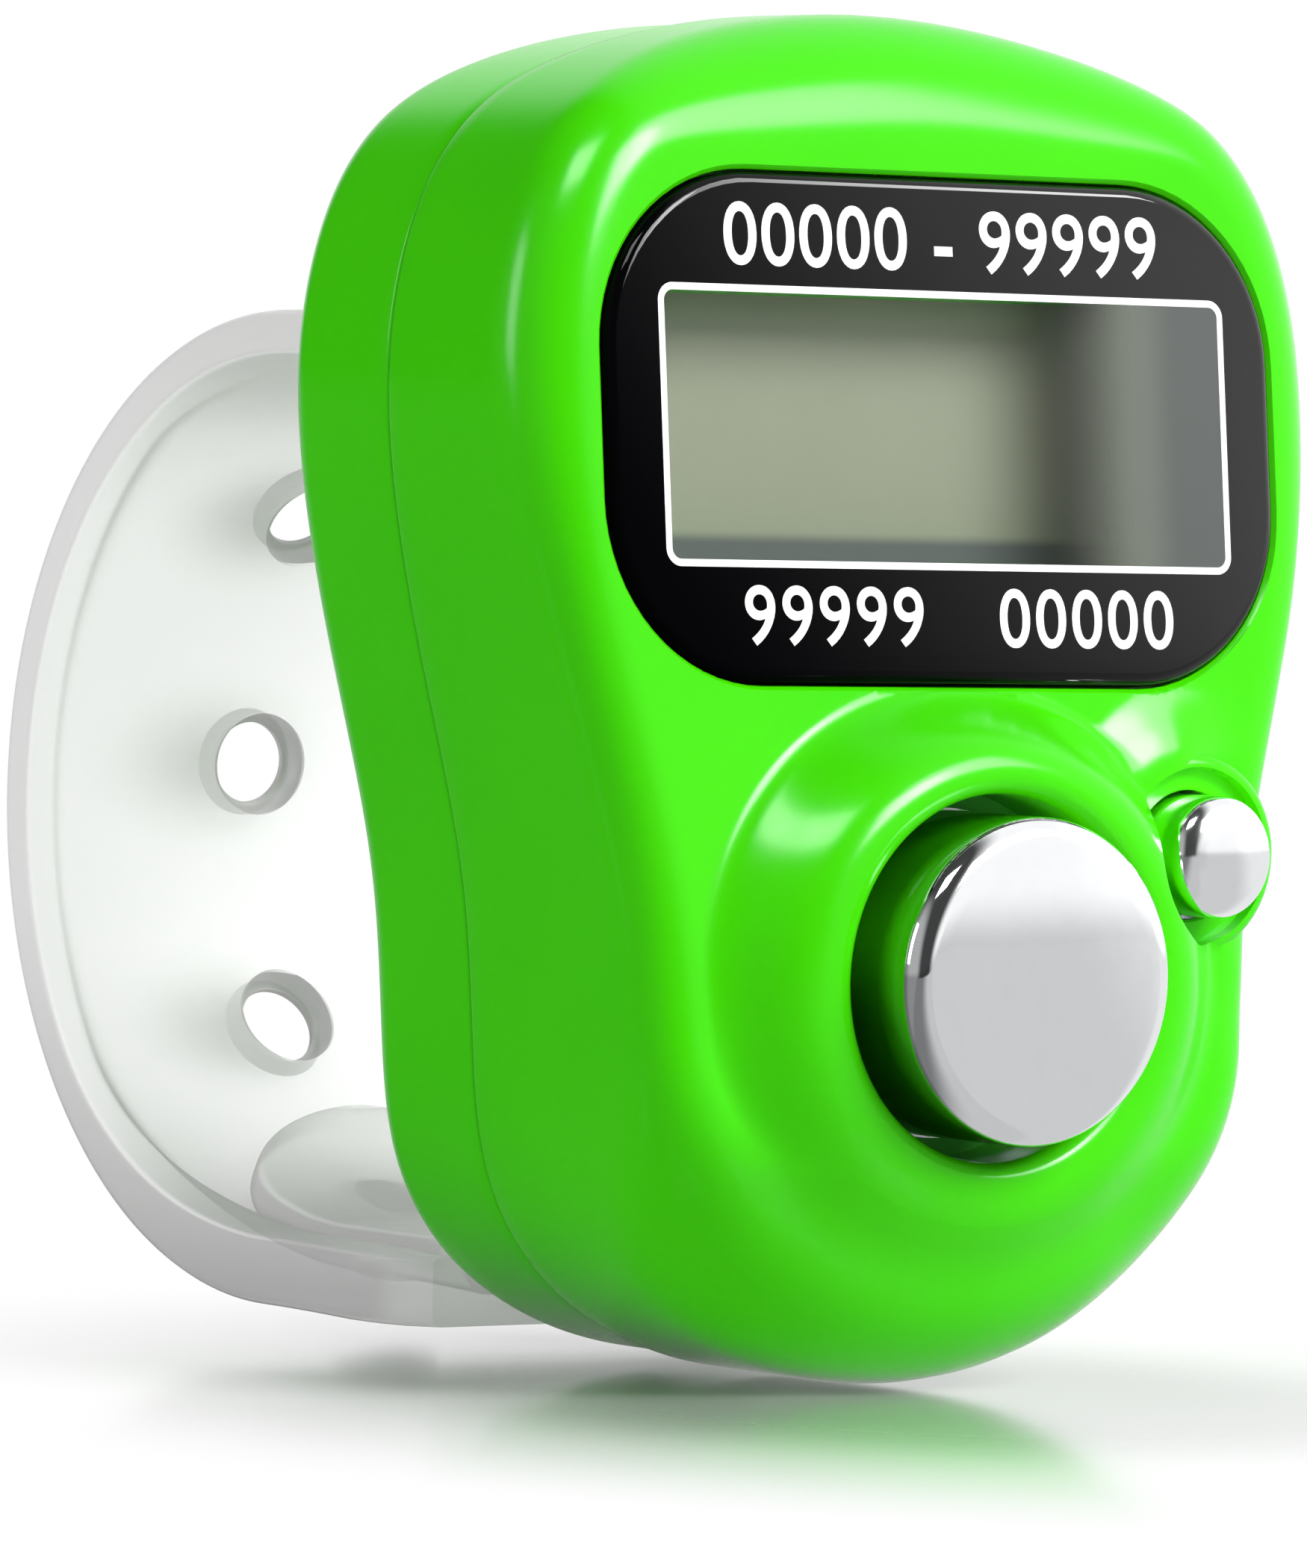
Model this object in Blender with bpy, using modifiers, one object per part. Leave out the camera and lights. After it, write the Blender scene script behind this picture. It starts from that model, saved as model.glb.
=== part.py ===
"""Finger-ring tally counter: a two-part case, a display, two buttons and an adjusting strap.

Sizes are in metres. The origin is the middle of the case's flat back, which rests on the
finger. +Z is up, -Y is the front, where the buttons are, and X is the width.
"""

import bmesh
import bpy
from math import cos, pi, radians, sin, tan
from mathutils import Matrix, Vector

# Clearances
fit_gap = 0.0003
slip_gap = 0.0002
laminate_gap = 0.0001
overrun = 0.0010

# What stands one on the other from the flat back to the display
door_thickness = 0.0010
cell_thickness = 0.0054
board_clearance = 0.0009
board_thickness = 0.0008
display_space = 0.0046
cell_front = door_thickness + fit_gap + cell_thickness
board_back = cell_front + board_clearance
board_front = board_back + board_thickness

# The front's pieces from the case's top down: window, then count button in its collar
lens_height = 0.0141
collar_top_radius = 0.0080
collar_bottom_radius = 0.0083
top_margin = 0.0047
foot_margin = 0.0035
window_drop = top_margin + lens_height / 2
count_lift = foot_margin + collar_bottom_radius

# Case
case_height = window_drop + lens_height / 2 + collar_top_radius + count_lift
case_width = 0.0280
case_depth = board_front + display_space
face_tilt = radians(6.0)
window_rise = case_height / 2 - window_drop
seam_setback = 0.0012
rear_shell_depth = cell_front - seam_setback
side_wall = 0.0013
face_wall = 0.0019
rear_floor = 0.0020
rear_set_in = 0.0002
side_edge_radius = 0.0016
shoulder_edge_radius = 0.0022
top_edge_radius = 0.0040
bottom_edge_radius = 0.0048
rear_edge_radius = 0.0015
inner_edge_radius = 0.0006
seam_gap = 0.00025
seam_lip_height = 0.0008
seam_lip_thickness = 0.00045
seam_rim_thickness = 0.0006

# Window and display
lens_margin = 0.00245
lens_width = case_width - 2 * lens_margin
lens_corner_radius = 0.0050
lens_thickness = 0.0010
lens_proud = 0.0002
lens_edge = 0.0003
window_side_margin = 0.00175
window_width = lens_width - 2 * window_side_margin
window_foot_margin = 0.0032
window_height = lens_height - 2 * window_foot_margin
window_corner_radius = 0.0005
display_side_overlap = 0.0004
display_width = window_width + 2 * display_side_overlap
display_foot_overlap = 0.00135
display_height = window_height + 2 * display_foot_overlap
display_ledge = 0.0016
glass_thickness = 0.00055
reflector_thickness = 0.00015
display_frame_border = 0.0005
display_frame_depth = 0.0015
zebra_height = 0.0010
zebra_width = display_width - 2 * slip_gap

# Count button
collar_height = 0.00348
collar_front = case_depth + collar_height
count_proud = 0.00206
count_front = collar_front + count_proud
count_stop_depth = 0.00278
count_stop = collar_front - count_stop_depth
count_rise = count_lift - case_height / 2
count_radius = 0.00455
count_crown = 0.00025
count_edge = 0.00045
count_bore_radius = 0.0051
count_flange_radius = 0.0058
count_flange_thickness = 0.0008
count_stem_radius = 0.0016
collar_radius = 0.0088
collar_root = 0.0004
collar_lip = 0.0003

# Reset button
boss_height = 0.0016
boss_front = case_depth + boss_height
reset_proud = 0.0017
reset_front = boss_front + reset_proud
reset_stop_depth = 0.0014
reset_stop = boss_front - reset_stop_depth
reset_lift = 0.0033
reset_rise = count_rise + reset_lift
reset_spacing = 0.00355
reset_offset = count_radius + reset_spacing
reset_radius = 0.00172
reset_flange_radius = 0.00205
reset_flange_thickness = 0.0006
reset_stem_radius = 0.0008
boss_radius = 0.0029
boss_edge = 0.0004
boss_root_radius = 0.0024
boss_depth = 0.0019
boss_root = boss_front - boss_depth

# Board and what it carries
count_dome_radius = 0.0036
reset_dome_radius = 0.00115
dome_height = 0.0024
dome_wall = 0.0004
chip_radius = 0.0032
chip_height = 0.0011
chip_drop = 0.0081
chip_rise = case_height / 2 - chip_drop
capacitor_length = 0.0020
capacitor_width = 0.0012
capacitor_height = 0.0009
capacitor_lift = 0.0073
capacitor_rise = capacitor_lift - case_height / 2

# Cell, contacts and door
cell_radius = 0.0058
cell_rise = 0.0002
cell_can_edge = 0.0003
cell_cap_radius = 0.0048
cell_cap_height = 0.0004
cell_wall = 0.0010
cell_well_rim = 0.0007
cell_well_depth = rear_shell_depth + cell_well_rim
leaf_thickness = 0.0002
leaf_width = 0.0030
leaf_foot = 0.0013
leaf_length = 0.0080
door_inset = 0.0070
door_width = case_width - 2 * door_inset
door_height = 0.0168
door_drop = 0.0012
door_rise = cell_rise - door_drop
door_corner_radius = 0.0030
door_tongue_width = 0.0060
door_tongue_length = 0.0010
door_tongue_thickness = 0.00045
door_screw_lift = 0.0017
door_screw_rise = door_rise - door_height / 2 + door_screw_lift

# Screws
case_screw_head_radius = 0.00125
case_screw_head_height = 0.0009
case_screw_radius = 0.0007
case_screw_grip = 0.0023
case_screw_length = rear_shell_depth + case_screw_grip
case_screw_sink = 0.0002
screw_slot_width = 0.0004
screw_slot_share = 0.7
case_post_radius = 0.0014
post_inset = 0.0066
post_offset = case_width / 2 - post_inset
capacitor_spacing = 0.0044
capacitor_offset = post_offset - capacitor_spacing
upper_post_drop = 0.00415
upper_post_rise = case_height / 2 - upper_post_drop
lower_post_lift = 0.0070
lower_post_rise = lower_post_lift - case_height / 2
door_screw_head_radius = 0.0013
door_screw_head_height = 0.00055
door_screw_radius = 0.00065
door_screw_length = 0.0036
board_screw_head_radius = 0.0010
board_screw_head_height = 0.0006
board_screw_radius = 0.0005
board_screw_length = 0.0032
board_post_radius = 0.0011
board_post_lift = 0.0071
board_post_rise = count_rise + board_post_lift
post_root = 0.0005

# Strap
strap_side_inset = 0.0054
strap_width = case_width - 2 * strap_side_inset
strap_top_drop = 0.00875
strap_foot_lift = 0.00105
strap_radius = (case_height - strap_top_drop - strap_foot_lift) / 2
strap_rise = (strap_foot_lift - strap_top_drop) / 2
strap_leg = 0.0074
strap_floor = 0.0009
strap_edge = 0.0013
strap_lip_width = 0.0010
strap_top_flare = 0.0004
strap_foot_flare = 0.0002
strap_end_gap = 0.0008
strap_hole_radius = 0.00145
strap_hole_pitch = 0.0079
strap_recess_top = radians(78.0)
strap_recess_fade = radians(26.0)
bead_height = 0.0023
bead_length = 0.0014
slot_gap = 0.0003
tab_inset = 0.0029
tab_width = strap_width - 2 * tab_inset
tab_thickness = 0.0011
tab_tip = radians(-50.0)
tab_shoulder = 0.0017
tab_neck_width = tab_width - 2 * tab_shoulder
tab_neck_length = 0.0030
stud_angle = radians(-64.0)
stud_radius = 0.00115
stud_head_radius = 0.0020
stud_head_height = 0.0007

# The front outline from the top down, as shares of the case's half width and its height
outline_shares = [
    (0.0, 1.0), (0.393, 0.983), (0.686, 0.948), (0.857, 0.900), (0.961, 0.8225),
    (1.0, 0.711), (0.936, 0.5765), (0.846, 0.460), (0.775, 0.3588), (0.75, 0.2552),
    (0.718, 0.1516), (0.564, 0.0687), (0.30, 0.0168), (0.0, 0.0),
]
# Where the front edge's radius starts and ends its change, as shares of the case's height
top_blend_shares = (0.925, 1.01)
shoulder_blend_shares = (0.55, 0.75)
bottom_blend_shares = (0.25, 0.05)
# The collar's flank: how far out from the lip to the foot, and how far up from the tilted face
collar_flank_shares = [
    (0.16, 1.0), (0.32, 0.97), (0.46, 0.87), (0.60, 0.66), (0.74, 0.38), (0.87, 0.15), (1.0, 0.02),
]

# How finely round shapes are divided, and how near points are welded
outline_steps = 3
edge_steps = 4
strap_arc_steps = 36
strap_leg_steps = 6
round_steps = 40
collar_steps = 48
weld_distance = 0.000001

for old in list(bpy.data.objects):
    bpy.data.objects.remove(old)

counter = bpy.data.collections.new("tally_counter")
cutters = bpy.data.collections.new("cutters")
bpy.context.scene.collection.children.link(counter)
bpy.context.scene.collection.children.link(cutters)


def material(name, color, roughness, metallic=0.0):
    made = bpy.data.materials.new(name)
    made.use_nodes = True
    shader = made.node_tree.nodes["Principled BSDF"]
    shader.inputs["Base Color"].default_value = (*color, 1.0)
    shader.inputs["Roughness"].default_value = roughness
    shader.inputs["Metallic"].default_value = metallic
    return made


def add_object(name, mesh, finish, parent=None, location=(0.0, 0.0, 0.0)):
    """Links a finished mesh as one piece, or as a cutter where it has no finish."""
    made = bpy.data.objects.new(name, mesh)
    made.location = location
    made.parent = parent
    if finish:
        counter.objects.link(made)
        mesh.materials.append(finish)
    else:
        cutters.objects.link(made)
        made.hide_render = True
        made.display_type = "WIRE"
    mesh.shade_smooth()
    mesh.set_sharp_from_angle(angle=radians(35.0))
    return made


def combine(target, others, operation):
    """Joins a piece with all of the others at once, or cuts all of them out of it."""
    group = bpy.data.collections.new(target.name + "_" + operation.lower())
    cutters.children.link(group)
    for other in others:
        group.objects.link(other)
    change = target.modifiers.new(group.name, "BOOLEAN")
    change.operation = operation
    change.operand_type = "COLLECTION"
    change.collection = group


def join(target, *others):
    combine(target, others, "UNION")


def cut(target, *others):
    """Cuts the others out of a piece, and lets its large faces keep flat shading beside round edges."""
    combine(target, others, "DIFFERENCE")
    shading = target.modifiers.new("face_weights", "WEIGHTED_NORMAL")
    shading.keep_sharp = True


def plate(name, outline, front, back, finish, parent=None, rise=0.0, bevel=0.0):
    """A flat piece from an outline in X and Z, between two distances in front of the back."""
    curve = bpy.data.curves.new(name, "CURVE")
    curve.dimensions = "2D"
    curve.fill_mode = "BOTH"
    curve.extrude = abs(front - back) / 2
    spline = curve.splines.new("POLY")
    spline.points.add(len(outline) - 1)
    for point, (across, up) in zip(spline.points, outline):
        point.co = (across, up, 0.0, 1.0)
    spline.use_cyclic_u = True
    guide = bpy.data.objects.new(name + "_guide", curve)
    cutters.objects.link(guide)
    bpy.context.view_layer.update()
    graph = bpy.context.evaluated_depsgraph_get()
    mesh = bpy.data.meshes.new_from_object(guide.evaluated_get(graph))
    bpy.data.objects.remove(guide)
    shape = bmesh.new()
    shape.from_mesh(mesh)
    bmesh.ops.remove_doubles(shape, verts=shape.verts, dist=weld_distance)
    bmesh.ops.dissolve_limit(shape, angle_limit=radians(0.5), verts=shape.verts, edges=shape.edges)
    bmesh.ops.recalc_face_normals(shape, faces=shape.faces)
    shape.to_mesh(mesh)
    shape.free()
    mesh.transform(Matrix.Translation((0.0, -(front + back) / 2, rise)) @ Matrix.Rotation(pi / 2, 4, "X"))
    made = add_object(name, mesh, finish, parent)
    if bevel:
        edge = made.modifiers.new("edge", "BEVEL")
        edge.width = bevel
        edge.segments = 2
        edge.limit_method = "ANGLE"
        edge.angle_limit = radians(60.0)
    return made


def turned(name, profile, finish, across=0.0, up=0.0, parent=None, steps=round_steps):
    """A piece turned round an axis that points forwards, from (radius, distance in front)."""
    mesh = bpy.data.meshes.new(name)
    shape = bmesh.new()
    points = [shape.verts.new((radius, 0.0, height)) for radius, height in profile]
    for start, end in zip(points, points[1:]):
        shape.edges.new((start, end))
    if profile[0][0] > 0.0:
        shape.edges.new((points[-1], points[0]))
    shape.to_mesh(mesh)
    shape.free()
    made = add_object(name, mesh, finish, parent, (across, 0.0, up))
    made.rotation_euler.x = pi / 2
    turn = made.modifiers.new("turn", "SCREW")
    turn.steps = steps
    turn.render_steps = steps
    turn.use_merge_vertices = True
    turn.merge_threshold = weld_distance
    turn.use_smooth_shade = True
    return made


def cylinder(name, radius, front, back, finish, across=0.0, up=0.0, parent=None, steps=24):
    return turned(name, [(0.0, front), (radius, front), (radius, back), (0.0, back)],
                  finish, across, up, parent, steps)


def box(name, width, front, back, low, high, finish, across=0.0, parent=None):
    mesh = bpy.data.meshes.new(name)
    shape = bmesh.new()
    bmesh.ops.create_cube(shape, size=1.0)
    size = Matrix.Diagonal((width, front - back, high - low, 1.0))
    place = Matrix.Translation((across, -(front + back) / 2, (low + high) / 2))
    bmesh.ops.transform(shape, matrix=place @ size, verts=shape.verts)
    shape.to_mesh(mesh)
    shape.free()
    return add_object(name, mesh, finish, parent)


def bent_strip(name, path, width, finish):
    """A sheet-metal strip bent along (distance in front, height) points, with its thickness behind or below."""
    rings = []
    for across in (-width / 2, width / 2):
        outer = [Vector((across, -front, up)) for front, up in path]
        inner = []
        for i, point in enumerate(outer):
            before = (point - outer[i - 1]).normalized() if i else (outer[1] - point).normalized()
            after = (outer[i + 1] - point).normalized() if i + 1 < len(outer) else before
            along = (before + after).normalized()
            inward = Vector((0.0, along.z, -along.y))
            inner.append(point + inward * leaf_thickness / max(along.dot(after), 0.5))
        rings.append(outer + inner[::-1])
    return loft(name, rings, finish)


def loft(name, rings, finish, closed=False):
    """A solid through rings of as many points each, with flat ends unless it closes on itself."""
    mesh = bpy.data.meshes.new(name)
    shape = bmesh.new()
    loops = [[shape.verts.new(point) for point in ring] for ring in rings]
    pairs = list(zip(loops, loops[1:]))
    if closed:
        pairs.append((loops[-1], loops[0]))
    for here, there in pairs:
        for i in range(len(here)):
            j = (i + 1) % len(here)
            shape.faces.new((here[i], here[j], there[j], there[i]))
    if not closed:
        shape.faces.new(loops[0])
        shape.faces.new(loops[-1])
    bmesh.ops.recalc_face_normals(shape, faces=shape.faces)
    shape.to_mesh(mesh)
    shape.free()
    return add_object(name, mesh, finish)


def rounded_rectangle(width, height, radius, steps=8):
    """Outline points round a rectangle with round corners, about its middle."""
    points = []
    for quarter in range(4):
        start = quarter * pi / 2
        side = 1 if quarter in (0, 3) else -1
        top = 1 if quarter in (0, 1) else -1
        middle = (side * (width / 2 - radius), top * (height / 2 - radius))
        for step in range(steps + 1):
            angle = start + step * pi / 2 / steps
            points.append((middle[0] + radius * cos(angle), middle[1] + radius * sin(angle)))
    return points


def smooth_share(value, start, end):
    share = min(max((value - start) / (end - start), 0.0), 1.0)
    return share * share * (3 - 2 * share)


def case_outline():
    """The case's front outline as a smooth closed curve, with the outward direction at each point."""
    half = [Vector((across * case_width / 2, (up - 0.5) * case_height)) for across, up in outline_shares]
    whole = half + [Vector((-point.x, point.y)) for point in reversed(half[1:-1])]
    places = []
    for i in range(len(whole)):
        before, here, there, after = (whole[(i + k) % len(whole)] for k in (-1, 0, 1, 2))
        for step in range(outline_steps):
            t = step / outline_steps
            places.append(
                0.5 * (2 * here + t * (there - before)
                       + t * t * (2 * before - 5 * here + 4 * there - after)
                       + t ** 3 * (3 * here - before - 3 * there + after))
            )
    found = []
    for i, place in enumerate(places):
        along = places[(i + 1) % len(places)] - places[i - 1]
        found.append((place, Vector((-along.y, along.x)).normalized()))
    return found


outline = case_outline()


def face_front(up):
    """How far the tilted front face stands in front of the back at this height."""
    return case_depth - (up - window_rise) * tan(face_tilt)


def front_edge_radius(up):
    share = up / case_height + 0.5
    top = smooth_share(share, *top_blend_shares) * (top_edge_radius - shoulder_edge_radius)
    shoulder = smooth_share(share, *shoulder_blend_shares) * (shoulder_edge_radius - side_edge_radius)
    bottom = smooth_share(share, *bottom_blend_shares) * (bottom_edge_radius - side_edge_radius)
    return side_edge_radius + top + shoulder + bottom


def flat_ring(inset, front):
    """The case's outline moved in by one distance, at one distance in front of the back."""
    ring = []
    for place, outward in outline:
        point = place - outward * inset
        ring.append(Vector((point.x, -front, point.y)))
    return ring


def face_ring(inset, wall, turn, radius_of):
    """One ring of the rounded front edge: turn 0 is at the side and turn 1 is on the face."""
    ring = []
    for place, outward in outline:
        radius = radius_of(place.y)
        edge = place - outward * (inset + radius)
        face = face_front(edge.y) - wall
        point = place - outward * (inset + radius * (1 - cos(turn * pi / 2)))
        ring.append(Vector((point.x, -(face - radius * (1 - sin(turn * pi / 2))), point.y)))
    return ring


def make_front_shell(finish, tilted):
    rim = rear_shell_depth + seam_gap
    rebate = rim + seam_lip_height + seam_gap
    rings = [face_ring(side_wall, face_wall, step / 2, lambda up: inner_edge_radius) for step in (2, 1, 0)]
    rings.append(flat_ring(side_wall, rebate))
    rings.append(flat_ring(seam_rim_thickness, rebate))
    rings.append(flat_ring(seam_rim_thickness, rim))
    rings.append(flat_ring(0.0, rim))
    rings += [face_ring(0.0, 0.0, step / edge_steps, front_edge_radius) for step in range(edge_steps + 1)]
    shell = loft("front_shell", rings, finish)

    slant = boss_edge * (1 - sin(pi / 4))
    boss_rim = boss_front - boss_edge
    boss = turned("reset_boss", [(0.0, boss_front), (boss_radius - boss_edge, boss_front),
                                 (boss_radius - slant, boss_front - slant), (boss_radius, boss_rim),
                                 (boss_root_radius, boss_root), (0.0, boss_root)],
                  None, reset_offset, reset_rise, steps=32)
    posts = [cylinder(name + "_post", radius, face_front(up) - face_wall + post_root, back, None, across, up)
             for name, across, up, radius, back in posts_in_front()]
    join(shell, make_collar(), boss, *posts)

    above = collar_front + overrun
    bore = turned("count_bore", [(0.0, above), (count_bore_radius + collar_lip + overrun, above),
                                 (count_bore_radius, collar_front - collar_lip),
                                 (count_bore_radius, count_stop),
                                 (count_flange_radius + fit_gap, count_stop),
                                 (count_flange_radius + fit_gap, board_front), (0.0, board_front)],
                  None, up=count_rise, steps=44)
    hole = reset_radius + fit_gap
    wide = reset_flange_radius + fit_gap
    reset_bore = turned("reset_bore", [(0.0, reset_front), (hole, reset_front), (hole, reset_stop),
                                       (wide, reset_stop), (wide, board_front), (0.0, board_front)],
                        None, reset_offset, reset_rise, steps=32)
    seat = lens_thickness - lens_proud + slip_gap
    pocket = plate("lens_pocket", rounded_rectangle(lens_width + 2 * slip_gap, lens_height + 2 * slip_gap,
                                                    lens_corner_radius + slip_gap),
                   overrun, -seat, None, tilted)
    window = plate("window_cut", rounded_rectangle(window_width, window_height, window_corner_radius, 3),
                   0.0, -face_wall - overrun, None, tilted)
    pilots = []
    for name, across, up, radius, back in posts_in_front():
        on_case = name.startswith("case")
        pilot = case_screw_radius if on_case else board_screw_radius
        depth = back + (case_screw_length if on_case else board_screw_length)
        pilots.append(cylinder(name + "_pilot", pilot + slip_gap, min(depth, face_front(up) - face_wall),
                               back - overrun, None, across, up, steps=16))
    cut(shell, bore, reset_bore, pocket, window, *pilots)
    return shell


def make_collar():
    """The raised ring round the count button: its lip is upright and its foot lies on the tilted face."""
    middle_share = 0.5
    rings = [collar_ring(-middle_share, 0.0, -collar_root), collar_ring(-middle_share, 1.0, 0.0)]
    rings += [collar_ring(out, up, 0.0) for out, up in collar_flank_shares]
    rings.append(collar_ring(1.0, 0.0, -collar_root))
    return loft("collar", rings, None, closed=True)


def collar_ring(out, share, lift):
    """A ring at a share of the way from the bore to the foot, and a share of the height to the lip."""
    ring = []
    for step in range(collar_steps):
        angle = 2 * pi * (step + 0.5) / collar_steps
        upright = sin(angle) ** 2
        end = collar_top_radius if angle < pi else collar_bottom_radius
        foot = collar_radius + upright * (end - collar_radius)
        radius = count_bore_radius + out * (foot - count_bore_radius)
        up = count_rise + radius * sin(angle)
        front = face_front(up) + share * (collar_front - face_front(up)) + lift
        ring.append(Vector((radius * cos(angle), -front, up)))
    return ring


def posts_in_front():
    """The front shell's screw posts: name, place, radius and where each ends."""
    case_end = rear_shell_depth + seam_gap
    board_end = board_front + laminate_gap
    found = []
    for side, label in ((-1, "left"), (1, "right")):
        found.append(("case_upper_" + label, side * post_offset, upper_post_rise, case_post_radius, case_end))
        found.append(("case_lower_" + label, side * post_offset, lower_post_rise, case_post_radius, case_end))
        found.append(("board_" + label, side * post_offset, board_post_rise, board_post_radius, board_end))
    return found


def case_screw_places():
    return [(side * post_offset, up, row + "_" + label)
            for side, label in ((-1, "left"), (1, "right"))
            for row, up in (("upper", upper_post_rise), ("lower", lower_post_rise))]


def make_rear_shell(finish):
    rim = rear_shell_depth
    lip = rim + seam_lip_height
    lip_out = seam_rim_thickness + seam_gap
    inside = lip_out + seam_lip_thickness
    rings = [flat_ring(inside, rear_floor), flat_ring(inside, lip), flat_ring(lip_out, lip),
             flat_ring(lip_out, rim), flat_ring(rear_set_in, rim)]
    for step in range(edge_steps + 1):
        turn = step / edge_steps * pi / 2
        inset = rear_set_in + rear_edge_radius * (1 - cos(turn))
        rings.append(flat_ring(inset, rear_edge_radius * (1 - sin(turn))))
    shell = loft("rear_shell", rings, finish)

    well = cell_radius + fit_gap
    outer = well + cell_wall
    wall = cylinder("cell_well", outer, cell_well_depth, rear_floor / 2, None, up=cell_rise, steps=48)
    post_end = rear_shell_depth - fit_gap
    posts = [cylinder("rear_post_" + label, case_post_radius, post_end, rear_floor / 2, None, across, up)
             for across, up, label in case_screw_places()]
    boss = cylinder("door_screw_boss", case_post_radius, door_screw_length + 2 * door_thickness,
                    rear_floor / 2, None, up=door_screw_rise)
    join(shell, wall, boss, *posts)

    rebate = plate("door_rebate", rounded_rectangle(door_width + 2 * slip_gap, door_height + 2 * slip_gap,
                                                    door_corner_radius + slip_gap),
                   door_thickness + slip_gap, -overrun, None, rise=door_rise)
    hole = cylinder("cell_hole", well, cell_well_depth + overrun, 0.0, None, up=cell_rise, steps=48)
    door_top = door_rise + door_height / 2
    pocket = box("tongue_pocket", door_tongue_width + 2 * fit_gap, door_thickness + slip_gap,
                 door_thickness - door_tongue_thickness - slip_gap, door_top - overrun,
                 door_top + door_tongue_length + fit_gap, None)
    notch = box("contact_notch", leaf_width + 4 * fit_gap, cell_well_depth + overrun, rear_floor,
                cell_rise + well - 2 * fit_gap, cell_rise + outer + fit_gap, None)
    pilot = cylinder("door_screw_pilot", door_screw_radius + slip_gap, door_screw_length + door_thickness, 0.0,
                     None, up=door_screw_rise, steps=16)
    screw_holes = []
    narrow = case_screw_radius + slip_gap
    wide = case_screw_head_radius + slip_gap
    seat = case_screw_sink + case_screw_head_height + slip_gap
    for across, up, label in case_screw_places():
        profile = [(0.0, rear_shell_depth + overrun), (narrow, rear_shell_depth + overrun), (narrow, seat),
                   (wide, seat), (wide, -overrun), (0.0, -overrun)]
        screw_holes.append(turned("rear_hole_" + label, profile, None, across, up, steps=20))
    top = strap_top_height(0.0)
    band_slot = box("strap_slot", strap_width + 2 * slot_gap, rear_floor + overrun, -overrun,
                    top - strap_edge - 2 * slot_gap, top + slot_gap, None)
    low = tab_bottom()
    tab_slot = box("tab_slot", tab_neck_width + 2 * slot_gap, rear_floor + overrun, -overrun,
                   low - slot_gap, low + tab_thickness + slot_gap, None)
    cut(shell, rebate, hole, pocket, notch, pilot, band_slot, tab_slot, *screw_holes)
    return shell


def make_display(glass, black, grey, rubber, tilted):
    depth = face_wall + fit_gap / 2
    plate("window_lens", rounded_rectangle(lens_width, lens_height, lens_corner_radius),
          lens_proud, lens_proud - lens_thickness, black, tilted, bevel=lens_edge)
    plate("lcd_front_glass", rounded_rectangle(display_width, display_height, laminate_gap, 1),
          -depth, -depth - glass_thickness, glass, tilted)
    depth += glass_thickness + laminate_gap
    short = display_height - display_ledge
    plate("lcd_rear_glass", rounded_rectangle(display_width, short, laminate_gap, 1),
          -depth, -depth - glass_thickness, glass, tilted, rise=display_ledge / 2)
    depth += glass_thickness + laminate_gap
    plate("lcd_reflector", rounded_rectangle(display_width - fit_gap, short - fit_gap, laminate_gap, 1),
          -depth, -depth - reflector_thickness, grey, tilted, rise=display_ledge / 2)

    outer_width = display_width + 2 * (fit_gap + display_frame_border)
    outer_height = display_height + 2 * (fit_gap + display_frame_border)
    start = face_wall + fit_gap / 2
    frame = plate("lcd_frame", rounded_rectangle(outer_width, outer_height, display_frame_border, 3),
                  -start, -start - display_frame_depth, black, tilted)
    hole = plate("lcd_frame_hole", rounded_rectangle(display_width + 2 * fit_gap, display_height + 2 * fit_gap,
                                                     fit_gap, 2),
                 overrun, -start - display_frame_depth - overrun, None, tilted)
    cut(frame, hole)

    ledge_depth = face_wall + fit_gap / 2 + glass_thickness
    ledge_up = -(display_height - display_ledge) / 2
    low = window_rise + ledge_up * cos(face_tilt) - ledge_depth * sin(face_tilt)
    front = case_depth - ledge_depth * cos(face_tilt) - ledge_up * sin(face_tilt) - fit_gap / 2
    box("zebra_connector", zebra_width, front, board_front + laminate_gap,
        low - zebra_height / 2, low + zebra_height / 2, rubber)


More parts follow.
